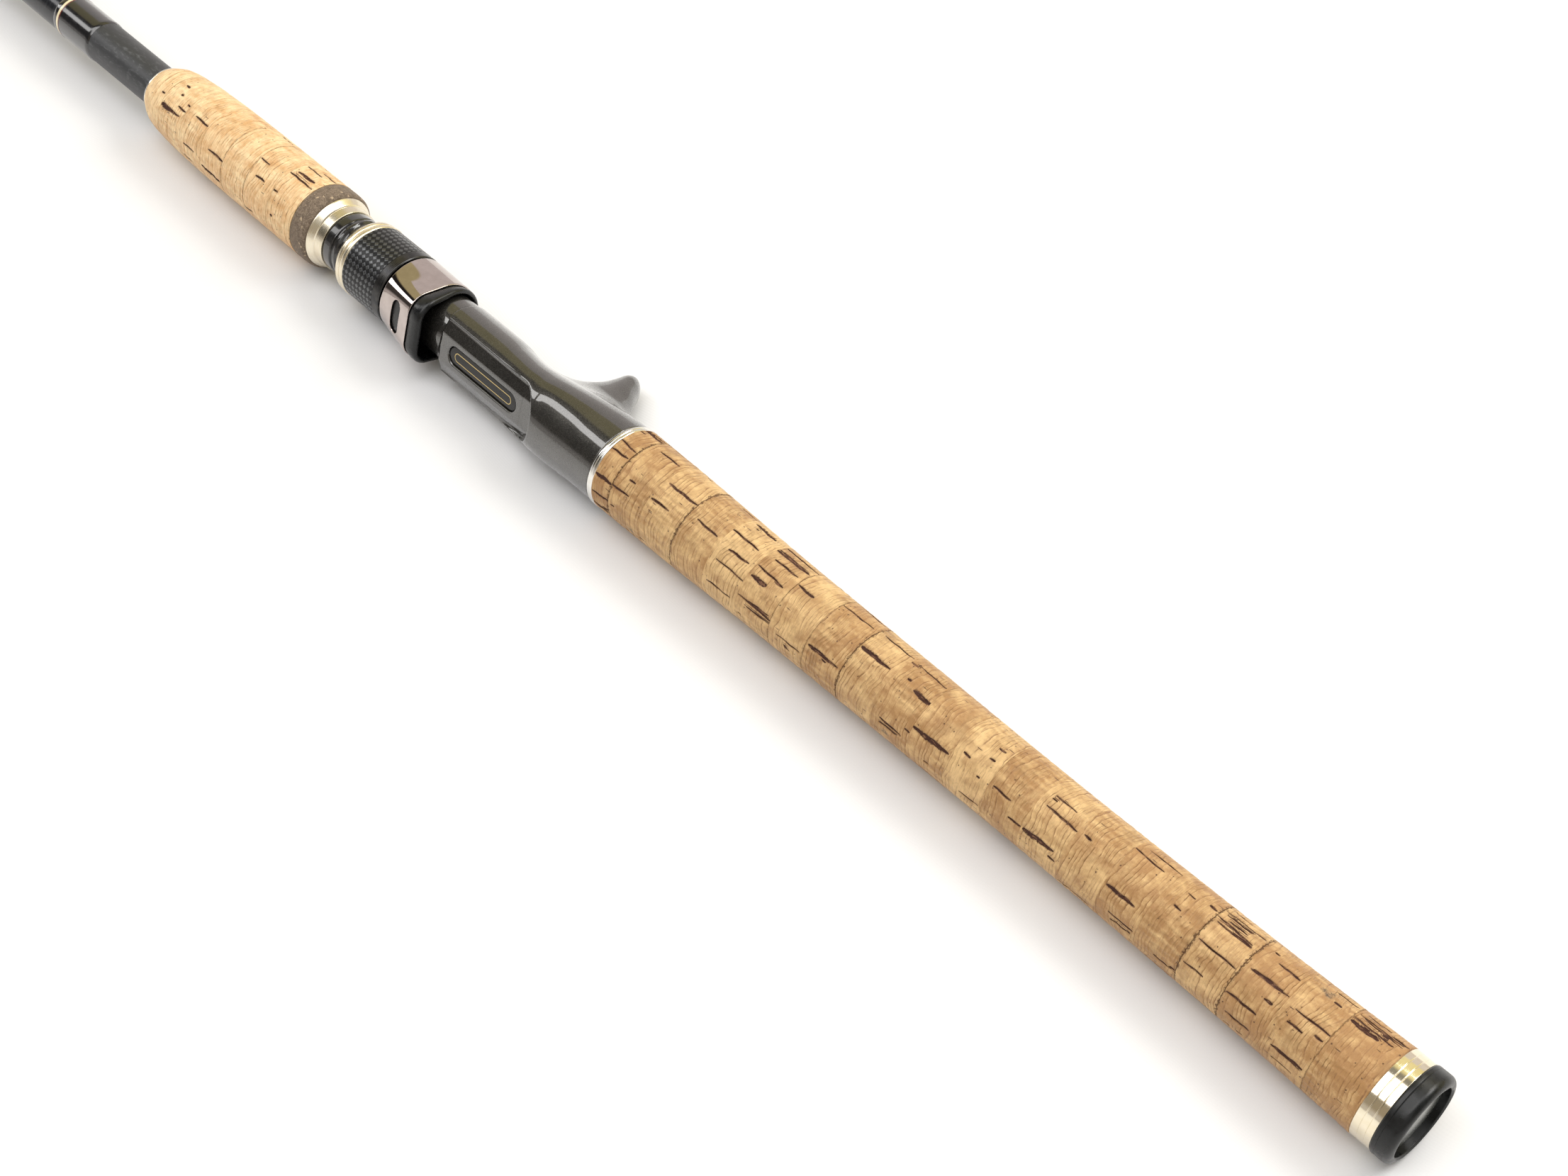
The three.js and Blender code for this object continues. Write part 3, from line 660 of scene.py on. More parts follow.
def stadium(along, across, straight, radius):
    """Distance to a slot outline that is straight for plus or minus that much along and has round ends."""
    return np.hypot(np.maximum(np.abs(along) - straight, 0), across) - radius


def field_mesh(name, field, low, high, step):
    """A closed quad mesh on field(station, side, height) = 0, with normals from the field itself."""
    lines = [np.arange(a, b + step, step) for a, b in zip(low, high)]
    value = field(*np.meshgrid(*lines, indexing="ij"))
    inside = value < 0
    size = [n - 1 for n in value.shape]
    total = np.zeros((*size, 3))
    count = np.zeros(size)
    shifts = [(i, j, k) for i in (0, 1) for j in (0, 1) for k in (0, 1)]

    def corner(array, shift):
        return array[tuple(slice(s, s + n) for s, n in zip(shift, size))]

    for shift in shifts:
        for way in range(3):
            if shift[way]:
                continue
            other = tuple(s + (a == way) for a, s in enumerate(shift))
            crossed = corner(inside, shift) != corner(inside, other)
            near, far = corner(value, shift), corner(value, other)
            part = np.where(crossed, near / np.where(crossed, near - far, 1), 0)
            for a in range(3):
                total[..., a] += np.where(crossed, shift[a] + (part if a == way else 0), 0)
            count += crossed
    active = count > 0
    number = np.full(size, -1)
    number[active] = np.arange(active.sum())
    cells = np.argwhere(active)
    spots = np.array(low) + step * (cells + total[active] / count[active][:, None])

    quads = []
    for way in range(3):
        u, v = (way + 1) % 3, (way + 2) % 3
        here = [slice(1, n) for n in size]
        here[way] = slice(0, size[way])
        there = list(here)
        there[way] = slice(1, size[way] + 1)
        first, second = inside[tuple(here)], inside[tuple(there)]
        for flip in (False, True):
            at = np.argwhere((first & ~second) if not flip else (~first & second))
            at[:, u] += 1
            at[:, v] += 1
            around = []
            for du, dv in ((1, 1), (0, 1), (0, 0), (1, 0)):
                cell = at.copy()
                cell[:, u] -= du
                cell[:, v] -= dv
                around.append(number[tuple(cell.T)])
            quad = np.stack(around, 1)
            quads.append(quad[:, ::-1] if flip else quad)
    faces = np.vstack(quads)

    def slope(points, reach=0.03):
        moves = np.eye(3) * reach
        return np.stack([(field(*(points + m).T) - field(*(points - m).T)) / (2 * reach) for m in moves], 1)

    for _ in range(4):
        rise = slope(spots)
        push = field(*spots.T) / np.maximum((rise ** 2).sum(1), 0.05)
        spots -= np.clip(push[:, None] * rise, -step / 3, step / 3)
    rise = slope(spots, 0.06)
    rise /= np.linalg.norm(rise, axis=1)[:, None]
    to_rod = np.array([-1, 1, 1])
    mesh = build_mesh(name, spots * to_rod, faces, sharp_degrees=0)
    mesh.normals_split_custom_set_from_vertices((rise * to_rod).tolist())
    return mesh


# ---- Cork rings ----
REAR_GRIP = through([(0, 12.1), (25, 11.45), (50, 11.05), (100, 10.7), (150, 11.1), (200, 11.65), (235, 12.5),
                     (264, 12.9)])
FORE_GRIP = through([(404, 12.85), (430, 12.85), (455, 12.75), (470, 12.4), (481, 11.8), (489, 10.8),
                     (494, 8.8)])
CORK_SEGMENTS = 216
CORK_STEP = 0.36
CORK_EDGE = 0.16
CORK_ARC_RADIUS = 12
PIT_DEPTH = 0.32
KNOT_DEPTH = 0.1
# How many slits a ring may have.
REAR_SLITS = (6, 10, 15, 20, 26)
FORE_SLITS = (4, 7, 10, 14)
# Each kind of slit: how common it is, and the ranges of its half length and half width.
SLIT_KINDS = (
    (0.55, (2.2, 6.2), (0.2, 0.38)),
    (0.3, (0.5, 1.3), (0.2, 0.45)),
    (0.15, (2.4, 5.8), (0.4, 0.85)),
)


def arc_from(arc, middle):
    """Millimetres round the rod from the middle, the short way."""
    full = 2 * np.pi * CORK_ARC_RADIUS
    return (arc - middle + full / 2) % full - full / 2


def carve_slits(station, arc, count, rng):
    """For every corner the distance to the nearest slit along the rod, and the place beside that slit.

    The place is the share of the half length, the millimetres across, and the slit's half width."""
    near = np.full(len(station), 9.0)
    place = np.tile((2.0, 3.0, 0.1), (len(station), 1))
    span = station.max() - station.min()
    for _ in range(count):
        kind = rng.choice(len(SLIT_KINDS), p=[chance for chance, _, _ in SLIT_KINDS])
        half_length = [rng.uniform(*lengths) for _, lengths, _ in SLIT_KINDS][kind]
        half_width = [rng.uniform(*widths) for _, _, widths in SLIT_KINDS][kind]
        half_length = min(half_length, span * 0.48)
        free = span / 2 - half_length + 0.3
        middle = station.min() + span / 2 + rng.uniform(-free, free)
        along = station - middle
        across = arc_from(arc, rng.uniform(-0.5, 0.5) * 2 * np.pi * CORK_ARC_RADIUS)
        bend = 0.09 * np.sin(along * rng.uniform(0.6, 1.4) + rng.uniform(0, 6.3))
        across = across - rng.normal(0, 0.035) * along - bend
        share = along / half_length
        share = share + rng.uniform(-0.42, 0.42) * (1 - share ** 2)
        wide = half_width * np.clip(1 - share ** 2, 0, 1) ** 0.33
        distance = np.hypot(np.maximum(np.abs(across) - wide, 0), np.maximum(np.abs(along) - half_length, 0))
        distance = distance - np.maximum(wide - np.abs(across), 0)
        closer = distance < near
        near[closer] = distance[closer]
        place[closer] = np.stack([share, across, np.full(len(share), half_width)], 1)[closer]
    return near, place


def add_cork_ring(name, back, front, radius_at, tone, crumble, slits, rng, material):
    """One cork ring, with its slits and knots sunk into the skin and marked for the material."""
    rows = int((front - back) / CORK_STEP) + 2
    stations = np.concatenate([[back], np.linspace(back + CORK_EDGE, front - CORK_EDGE, rows), [front]])
    outline = [*zip(stations, radius_at(stations)), (front, BORE), (back, BORE)]
    corners, faces, station, angle = lathe_arrays(outline, CORK_SEGMENTS)
    skin = np.arange(len(corners)) < len(stations) * CORK_SEGMENTS
    radius = np.hypot(corners[:, 1], corners[:, 2])
    arc = angle * CORK_ARC_RADIUS

    near, place = carve_slits(station, arc, rng.choice(slits), rng)
    knot = np.zeros(len(corners))
    for _ in range(rng.choice((0, 0, 0, 1))):
        along = station - rng.uniform(back + 2, front - 2)
        across = arc_from(arc, rng.uniform(-0.5, 0.5) * 2 * np.pi * CORK_ARC_RADIUS)
        size = rng.uniform(0.9, 2.2)
        ripple = 1 + 0.25 * np.sin(3 * np.arctan2(across, along) + rng.uniform(0, 6.3))
        reach = np.hypot(along * 0.8, across * 1.1) / (size * ripple)
        knot = np.maximum(knot, 1 - smoothstep(reach, 0.5, 1.2))

    wave = 0
    for _ in range(6):
        height = rng.uniform(0.2, 1)
        phase = station * rng.uniform(0.4, 3.2) + np.round(rng.uniform(0, 5)) * angle + rng.uniform(0, 6.3)
        wave = wave + height * np.sin(phase)
    sink = PIT_DEPTH * smoothstep(-near, -0.1, 0.3)
    sink = sink + KNOT_DEPTH * knot * (0.6 + 0.4 * np.sin(arc * 5 + station * 6))
    end = np.minimum(station - back, front - station)
    ends_crumble = np.where(station - back < front - station, crumble[0], crumble[1])
    sink = sink + (0.03 + 0.1 * ends_crumble) * (end < CORK_EDGE / 2)
    moved = radius + np.where(skin, 0.02 * wave - sink, 0)
    corners[:, 1] *= moved / radius
    corners[:, 2] *= moved / radius

    mesh = build_mesh(name, corners, faces, sharp_degrees=60)
    turn, shift = rng.uniform(0, 2 * np.pi), rng.uniform(-400, 400, 3)
    side = corners[:, 1] * np.cos(turn) - corners[:, 2] * np.sin(turn)
    height = corners[:, 1] * np.sin(turn) + corners[:, 2] * np.cos(turn)
    marks = {"grain": np.stack([station, side, height], 1) + shift, "slit": place, "near": near, "knot": knot,
             "joint": end, "crumble": ends_crumble, "tone": np.full(len(corners), tone)}
    for mark, values in marks.items():
        set_attribute(mesh, mark, values)
    add_fine(name, mesh, material)


# How pale each ring of the rear grip is, from the butt.
REAR_TONES = (0.05, 0.25, 0.1, 0.5, 0.12, 0.2, 0.42, 0.7, 0.15, 0.8, 0.3, 0.15, 0.55, 0.2, 0.7, 0.5, 0.9, 0.4,
              0.65, 0.35, 0.2)


def add_cork_handle():
    rng = np.random.default_rng(12)
    rear = cork_material("rear_cork", *REAR_CORK)
    fore = cork_material("fore_cork", *FORE_CORK)
    joints = [0, *(FIRST_CORK_RING + CORK_RING * i for i in range(REAR_RING_COUNT - 1)), REAR_CORK_END]
    crumbles = [0.3, *rng.choice((0, 0, 0.15, 0.5, 1), REAR_RING_COUNT - 1), 0]
    for i in range(REAR_RING_COUNT):
        add_cork_ring(f"rear_cork_{i + 1:02d}", joints[i], joints[i + 1], REAR_GRIP, REAR_TONES[i],
                      crumbles[i:i + 2], REAR_SLITS, rng, rear)
    length = (FORE_CORK_END - FORE_CORK_START) / FORE_RING_COUNT
    crumbles = [0, *rng.choice((0.15, 0.5, 0.9), FORE_RING_COUNT - 1), 0]
    for i in range(FORE_RING_COUNT):
        back = FORE_CORK_START + i * length
        add_cork_ring(f"fore_cork_{i + 1:02d}", back, back + length, FORE_GRIP, rng.uniform(0.5, 0.9),
                      crumbles[i:i + 2], FORE_SLITS, rng, fore)


# ---- Turned pieces ----
def add_turned(node, outline, material, body="rod", segments=128, radius=0.25):
    mesh = turned_mesh(node, outline, segments, radius)
    piece = add_fine(node, mesh, material, body)
    even = piece.modifiers.new("even_normals", "WEIGHTED_NORMAL")
    even.keep_sharp = True
    even.weight = 90


def add_butt(rubber, champagne):
    seam = -6.9
    outer = BUTT_CAP_RADIUS
    floor = BUTT_END + 2.9
    rim = 10.0
    bend = 1.9
    arc = [(BUTT_END + bend * (1 - math.sin(a)), outer - bend * (1 - math.cos(a)))
           for a in np.linspace(math.pi / 2, 0, 10)]
    outline = [(BUTT_END + 0.35, rim - 0.15), (BUTT_END, rim + 0.35), *arc, (seam - 0.12, outer),
               (seam, outer - 0.14), (seam + 0.12, outer), (BUTT_RING_START - 0.35, outer),
               (BUTT_RING_START, outer - 0.3), (BUTT_RING_START, 9), (-1.5, 9), (-1.5, 0.01), (floor, 0.01),
               (floor, rim - 0.3)]
    add_turned("butt_cap", outline, rubber, radius=0.12)

    back = floor - 0.3
    dome_radius = 9.4
    dome = [(back - 0.55 - 0.65 * (1 - (radius / dome_radius) ** 2), radius)
            for radius in np.linspace(dome_radius, 0.01, 14)]
    outline = [(back, 0.01), (back, 9.5), *dome]
    add_turned("butt_plate", outline, butt_plate_material(), radius=0.1)

    outline = [(BUTT_RING_START, 9.3), (BUTT_RING_START, BUTT_RING_RADIUS)]
    for groove in (-3.75, -1.85):
        outline += [(groove - 0.13, BUTT_RING_RADIUS), (groove, BUTT_RING_RADIUS - 0.16),
                    (groove + 0.13, BUTT_RING_RADIUS)]
    outline += [(0, BUTT_RING_RADIUS), (0, 9.3)]
    add_turned("butt_ring", outline, champagne, radius=0.09, segments=160)


def add_checks(silver, champagne):
    """The metal rings beside the cork, and the burl ring."""
    back, front, crest = REAR_CORK_END, SEAT_START - 0.12, REAR_CHECK_RADIUS
    outline = [(back, BORE), (back, crest - 0.15), (back + 0.35, crest), (back + 0.85, crest),
               (back + 1.0, crest - 0.2), (back + 1.15, crest), (back + 1.75, crest), (front, crest - 0.25),
               (front, BORE)]
    add_turned("rear_check", outline, silver, segments=160, radius=0.18)

    back = FORE_CORK_END
    outline = [(back, BLANK_RADIUS), (back, 8.75), (back + 0.5, 8.7), (back + 1.2, 8.2), (back + 1.55, 7.6),
               (back + 1.6, BLANK_RADIUS)]
    add_turned("fore_check", outline, silver)

    outline = [(CONE_REAR, BORE), (CONE_REAR, 10.2), (CONE_FLANGE - 0.25, 10.42), (CONE_FLANGE - 0.1, 10.3),
               (CONE_FLANGE + 0.1, 10.7), (BURL_START - 0.4, 11.7), (BURL_START, 11.85), (BURL_START, BORE)]
    add_turned("cone_check", outline, champagne, segments=160, radius=0.16)

    outline = [(BURL_START, BORE), (BURL_START, 11.3), (BURL_START + 0.15, 12.1), (BURL_START + 1.1, 12.75),
               (BURL_START + 3, 12.88), (FORE_CORK_START, 12.86), (FORE_CORK_START, BORE)]
    add_turned("burl_ring", outline, burl_material(), segments=160, radius=0.6)


def add_nut(champagne):
    metal = turned_metal("nut_dark_metal", (0.055, 0.055, 0.057), (0.08, 0.078, 0.076), 0.3, 0.012)
    bore, outer = NUT_CORE_RADIUS + 0.2, NUT_RADIUS
    flange = SLEEVE_REAR - 3.1
    front = SLEEVE_REAR - 0.05
    outline = [(NUT_REAR, NUT_BORE), (NUT_REAR, outer - 0.35), (NUT_REAR + 0.35, outer),
               (front - 0.1, outer), (front, outer - 0.2), (front, bore), (flange, bore), (flange, NUT_BORE)]
    add_turned("nut_rear_ring", outline, metal, "nut", 160, 0.12)

    outline = [(SLEEVE_REAR, bore), (SLEEVE_REAR, outer), (SLEEVE_FRONT, outer), (SLEEVE_FRONT, bore)]
    add_turned("nut_sleeve", outline, weave_material(), "nut", 184, 0.1)

    back = SLEEVE_FRONT + 0.08
    steps = ((0, -0.05), (0.5, 0.22), (1.3, 0.22), (1.9, -0.1), (2.05, -0.5), (2.2, -0.1), (2.7, 0.08),
             (3.4, 0), (4.1, -0.5))
    outline = [(back, bore), *((back + along, outer + rise) for along, rise in steps),
               (NUT_FRONT, outer - 1.0), (NUT_FRONT, bore)]
    add_turned("nut_front_ring", outline, champagne, "nut", 160, 0.3)
    dress("nut_core", rubber_material("nut_core", (0.012, 0.012, 0.013), 0.42))


def dress(node, material):
    """A CAD node that keeps its shape gets this material."""
    obj = frame["nodes"][node]
    obj.data.materials.clear()
    obj.data.materials.append(material)


# ---- Reel seat ----
SEAT_REEL_SIDE = through([(SEAT_START, 12.75), (275, 12.9), (289, 13.42), (297, 12.9), (306, 12.3),
                          (318, 12.1), (SHOULDER, 12)])
SEAT_TRIGGER_SIDE = through([(SEAT_START, 12.75), (273, 12.4), (283, 11.2), (292, 9.4), (300, 8.35),
                             (305, 8.4), (311, 9), (318, 9.8), (SHOULDER, 9.9)])
# The trigger at each depth below the axis.
TRIGGER_MIDDLE = through([(4, 290), (13, 289.8), (18, 290.4), (22, 291.3), (27, 293), (32.2, 294.8)])
TRIGGER_HALF_LENGTH = through([(4, 14.5), (10, 13), (14, 10.6), (18, 8), (22, 6.3), (27, 4.5), (32.2, 3.6)])
TRIGGER_HALF_WIDTH = through([(4, 6.6), (10, 6.4), (14, 6), (18, 5.6), (22, 5.3), (27, 4.9), (32.2, 4.5)])
TRIGGER_END = 31.9
TRIGGER_ROUND = 5.6
TRIGGER_BLEND = 5.5
BARREL_MIDDLE = 336
BARREL_HALF = 20
COLLAR_START = 389.9
POCKET_BACK = 284.5
POCKET_FRONT = 298
CHANNEL_HALF = 9
# The channel's floor: how far from the middle, and how high.
CHANNEL_FLOOR = ((0, 9.6), (4.4, 9.6), (4.9, 9.5), (8.2, 7.95), (8.6, 7.95), (9.2, 8.9))
PLATE_RISE = 1.05
STRIPE_STRAIGHT = 11.6
STRIPE_RADIUS = 1.3


def trigger_field(station, side, below):
    """An oval post that leans forward and ends in a dome."""
    along = (station - TRIGGER_MIDDLE(below)) / TRIGGER_HALF_LENGTH(below)
    across = side / TRIGGER_HALF_WIDTH(below)
    tip = np.clip((below - (TRIGGER_END - TRIGGER_ROUND)) / TRIGGER_ROUND, 0, None)
    reach = np.sqrt(along ** 2 + across ** 2 + tip ** 2 + 1e-9)
    size = np.minimum(TRIGGER_HALF_LENGTH(below), TRIGGER_HALF_WIDTH(below))
    return meet((reach - 1) * size, 2 - below, 0.5)


def channel_field(station, side, height):
    """The space above the reel foot: a crowned floor between two low rails, round under the arch."""
    middle = ARCH_FRONT + CHANNEL_HALF
    plan = np.where(station < middle, np.hypot(station - middle, side), np.abs(side)) - CHANNEL_HALF
    floor = np.interp(np.abs(side), *zip(*CHANNEL_FLOOR))
    return meet(plan, floor - height, 0.5)


def pocket_field(station, side, height):
    """The space under the arch that holds the rear of a reel's foot."""
    half = np.interp(station, [284, 288], [4, 6.4])
    plan = np.maximum(np.abs(side) - half, np.maximum(POCKET_BACK - station, station - POCKET_FRONT))
    return meet(meet(plan, SEAT_FLOOR - height, 0.4), np.hypot(side, height) - 11.8, 0.4)


def seat_field(station, side, height):
    """The seat's body and trigger, with its plain barrel and everything that is cut out of them."""
    angle = np.abs(np.arctan2(side, height)) / np.pi
    radius = np.hypot(side, height)
    turn = smoothstep(angle, 0.3, 0.72)
    skin = radius - (SEAT_REEL_SIDE(station) * (1 - turn) + SEAT_TRIGGER_SIDE(station) * turn)
    body = join(skin, trigger_field(station, side, -height), TRIGGER_BLEND)
    body = meet(body, SEAT_START - station, 0.25)
    body = meet(body, station - SHOULDER, 0.7)
    body = cut(body, channel_field(station, side, height), 0.85)
    body = cut(body, pocket_field(station, side, height), 0.3)
    barrel = radius - np.interp(station, [315.6, 334.6], [8, BARREL_RADIUS])
    body = join(body, meet(barrel, np.abs(station - BARREL_MIDDLE) - BARREL_HALF, 0.2), 0.35)
    slot_plan = stadium(station - SLOT_MIDDLE, side, SLOT_STRAIGHT, SLOT_HALF_WIDTH)
    body = cut(body, meet(slot_plan, SLOT_FLOOR - height, 0.3), 0.6)
    return cut(body, radius - BORE, 0.2)


def thread_arrays():
    """The threaded part of the seat's barrel, with a rounded right-hand ridge."""
    segments, step = 144, 0.26
    back, front = BARREL_MIDDLE + BARREL_HALF - 1.5, CONE_REAR - 0.1
    rows = int((front - back) / step)
    stations = np.linspace(back, front, rows)
    outline = [*((t, 9.0) for t in stations), (front, BORE), (back, BORE)]
    corners, faces, station, angle = lathe_arrays(outline, segments)
    skin = np.arange(len(corners)) < rows * segments
    turns = (THREAD_END - station) / THREAD_LEAD - (np.pi / 2 - angle) / (2 * np.pi)
    off_crest = np.abs(turns - np.round(turns)) * THREAD_LEAD
    ridge = 1 - smoothstep(off_crest, 0.45, 1.15)
    fade = smoothstep(station, THREAD_START - 2, THREAD_START + 1)
    collar = smoothstep(station, COLLAR_START, COLLAR_START + 0.5)
    plain = 1 - smoothstep(station, THREAD_START - 3, THREAD_START - 2.4)
    rise = THREAD_CREST - THREAD_ROOT
    barrel = THREAD_ROOT + (BARREL_RADIUS - THREAD_ROOT) * plain + rise * collar
    radius = np.maximum(THREAD_ROOT + rise * ridge * fade, barrel)
    radius = np.where(station > front - 0.2, radius - 0.2, radius)
    old = np.hypot(corners[:, 1], corners[:, 2])
    scale = np.where(skin, radius / old, 1)
    corners[:, 1] *= scale
    corners[:, 2] *= scale
    return corners, faces


def plate_field(station, side, height):
    edge = stadium(station - SLOT_MIDDLE, side, SLOT_STRAIGHT, SLOT_HALF_WIDTH - 0.12)
    top = height - (SLOT_FLOOR + PLATE_RISE - side ** 2 * 0.02)
    return meet(edge, meet(top, SLOT_FLOOR + 0.02 - height, 0.1), 0.35)


def seat_plate_material():
    """Brushed black with a thin gold line that follows the plate's edge."""
    s = Shader("seat_plate")
    brushed = s.noise(s.place(), (0.3, 6, 6), 3)
    plan = s.attribute("plan", "Vector")
    beyond = s.math("MAXIMUM", abs(s.axis(plan, "X")) - STRIPE_STRAIGHT, 0.0)
    across = s.axis(plan, "Y")
    reach = s.math("SQRT", beyond ** 2.0 + across * across)
    stripe = s.ranged(abs(reach - STRIPE_RADIUS), 0.1, 0.16, 1, 0)
    ground = s.mix(brushed, (0.006, 0.0055, 0.005), (0.014, 0.013, 0.012))
    s.set(Base_Color=s.mix(stripe, ground, (0.62, 0.48, 0.22)), Metallic=stripe * 0.9)
    s.set(Roughness=s.ranged(brushed, 0.3, 0.7, 0.24, 0.36), Specular_IOR_Level=0.4)
    s.bump(stripe, 0.03)
    return s.material


def add_seat(black):
    low = (SEAT_START - 1, -14.5, -TRIGGER_END - 2)
    high = (BARREL_MIDDLE + BARREL_HALF + 1.5, 14.5, 15)
    add_fine("reel_seat", field_mesh("reel_seat", seat_field, low, high, 0.41), seat_paint())
    add_piece("seat_thread_fine", build_mesh("seat_thread", *thread_arrays()), black)

    low = (SLOT[0] - 1, -4, 7)
    high = (SLOT[1] + 1, 4, 10.5)
    plate = field_mesh("seat_plate", plate_field, low, high, 0.2)
    spots = np.array([v.co for v in plate.vertices]) / MM
    set_attribute(plate, "plan", spots + [SLOT_MIDDLE, 0, 0])
    add_fine("seat_plate", plate, seat_plate_material())


# ---- Sliding hood ----
# The shell's rear end: its round radius, half width, height towards the reel and corner radius.
HOOD_REAR_SECTION = (11.7, 10.9, 13.9, 6.5)
HOOD_WALL = 0.6
LINER_INSET = 0.75
LIP_INSET = 0.45
WINDOW_STATION = 353
WINDOW_STRAIGHT = 3.1
WINDOW_RADIUS = 2.2
WINDOW_LOW = 5
LIP_LENGTH = 5.6
LIP_HALF_HEIGHT = 13.5
POCKET_HALF_WIDTH = 9.3
POCKET_TOP = 12.2
POCKET_CORNER = 4.6
POCKET_SLOPE = 1.6


def hood_outline(angle, round_radius, half_width, top, corner):
    """Radius of a section that is round away from the reel and square-shouldered towards it."""
    side = np.maximum(np.abs(np.sin(angle)), 1e-6)
    up = np.maximum(np.cos(angle), 1e-6)
    flat = np.minimum(top / up, half_width / side)
    corner_side, corner_up = half_width - corner, top - corner
    toward = corner_side * side + corner_up * up
    spare = toward ** 2 - corner_side ** 2 - corner_up ** 2 + corner ** 2
    bent = toward + np.sqrt(np.maximum(spare, 0))
    at_corner = (flat * side > corner_side) & (flat * up > corner_up)
    squared = np.where(at_corner, bent, flat)
    away = np.hypot(corner_side, corner_up)
    lean = np.arctan2(corner_side, corner_up) + np.arccos((round_radius - corner) / away)
    touch = np.arctan2(corner_side + corner * np.sin(lean), corner_up + corner * np.cos(lean))
    turn = np.abs(np.arctan2(np.sin(angle), np.cos(angle)))
    on_line = (turn > touch) & (turn < lean)
    squared = np.where(on_line, round_radius / np.cos(turn - lean), squared)
    return np.where(turn >= lean, round_radius, squared)


def hood_skin(station, angle):
    square = hood_outline(angle, *HOOD_REAR_SECTION)
    blend = np.clip((station - SHELL_REAR) / (HOOD_FRONT - SHELL_REAR), 0, 1)
    return square + (NUT_RADIUS - square) * blend


def shell_field(station, side, height):
    """The metal shell, with an oval window in its flat top."""
    angle, radius = np.arctan2(side, height), np.hypot(side, height)
    skin = hood_skin(station, angle)
    shell = meet(radius - skin, skin - HOOD_WALL - radius, 0.12)
    shell = meet(meet(shell, SHELL_REAR - station, 0.3), station - HOOD_FRONT, 0.35)
    window = stadium(side, station - WINDOW_STATION, WINDOW_STRAIGHT, WINDOW_RADIUS)
    return cut(shell, meet(window, WINDOW_LOW - height, 0.2), 0.3)


def insert_field(station, side, height):
    """The plastic lining, its rounded lip behind the shell, and the pocket for the front of a reel's foot."""
    angle, radius = np.arctan2(side, height), np.hypot(side, height)
    bead = np.sin(np.pi * np.clip((station - HOOD_REAR + 0.6) / LIP_LENGTH, 0, 1))
    lip = radius - (hood_skin(SHELL_REAR, angle) - LIP_INSET + LIP_INSET * bead)
    slant = np.clip((LIP_HALF_HEIGHT - height) / (2 * LIP_HALF_HEIGHT), 0, 1)
    rear_face = HOOD_REAR + LIP_SLANT * slant
    lip = meet(meet(lip, rear_face - station, 1.4), station - SHELL_REAR + 0.05, 0.5)
    liner = meet(radius - (hood_skin(station, angle) - LINER_INSET), station - HOOD_FRONT + 0.3, 0.3)
    liner = meet(liner, SHELL_REAR - 1 - station, 0.1)
    whole = join(lip, liner, 0.2)
    top = POCKET_TOP - POCKET_SLOPE * np.clip((station - HOOD_REAR) / POCKET_LENGTH, 0, 1)
    pocket = radius - hood_outline(angle, SLIDING_BORE, POCKET_HALF_WIDTH, top, POCKET_CORNER)
    pocket = meet(pocket, station - HOOD_REAR - POCKET_LENGTH, 0.5)
    opening = join(pocket, radius - SLIDING_BORE, 0.3)
    return cut(whole, opening, 0.7)


def add_hood():
    low, high = (HOOD_REAR - 1, -14, -14), (HOOD_FRONT + 1, 14, 15)
    shell = field_mesh("hood_shell", shell_field, low, high, 0.25)
    add_fine("hood_shell", shell, smoke_chrome(), "hood")
    insert = field_mesh("hood_insert", insert_field, low, high, 0.3)
    plastic = rubber_material("hood_plastic", (0.005, 0.0055, 0.006), 0.27)
    add_fine("hood_insert", insert, plastic, "hood")


# ---- Blank, trim and guides ----
def blank_radius(station):
    share = np.clip((station - TAPER_START) / (TIP_END - TAPER_START), 0, 1)
    return BLANK_RADIUS + (BLANK_TIP_RADIUS - BLANK_RADIUS) * share


def add_blank():
    end = TIP_END - 3
    stations = np.concatenate([np.linspace(0, TAPER_START, 29), np.linspace(TAPER_START, end, 60)[1:]])
    outer = [(t, float(blank_radius(t))) for t in stations]
    inside = BLANK_RADIUS - 1.1
    inner = [(end, float(blank_radius(end)) - 0.5), (TAPER_START, inside), (0, inside)]
    mesh = turned_mesh("blank", [*outer, *inner], 72)
    add_fine("blank", mesh, blank_material())


def wrap_outline(back, front, height, slope):
    """A resin-coated wrap that swells smoothly from the blank and sinks back to it."""
    points = []
    for t in np.linspace(back, front, 30):
        lift = height * min(1, math.sin(min((t - back) / slope, (front - t) / slope, 1) * math.pi / 2) + 0.02)
        points.append((t, float(blank_radius(t)) + lift))
    return [(back, float(blank_radius(back)) - 0.2), *points, (front, float(blank_radius(front)) - 0.2)]


def add_trim(wrap):
    mesh = turned_mesh("trim_wrap", wrap_outline(BARE_BLANK_END, TRIM_END + 3.4, 0.36, 1.2), 128)
    add_piece("trim_wrap", mesh, wrap)
    gold = wrap_material("gold_thread", (0.6, 0.52, 0.34), 0.25)
    red = wrap_material("red_thread", (0.09, 0.01, 0.008), 0.25)
    r = BLANK_RADIUS + 0.42
    for name, back, front, material in (("trim_red", TRIM_END - 0.5, TRIM_END + 0.02, red),
                                        ("trim_gold", TRIM_END, TRIM_END + 1.1, gold)):
        outline = [(back, r - 0.3), (back, r), (front, r), (front, r - 0.3)]
        add_piece(name, turned_mesh(name, outline, 128, 0.12), material)


HOLDER_WALL = 0.9
BAND_WALL = 0.57
BAND_HALF_LENGTH = 0.7
LEG_SPREAD = math.radians(50)
SMALL_GUIDE_BORE = 3
SMALL_GUIDE_COUNT = 5
BORE_STEP = 0.9


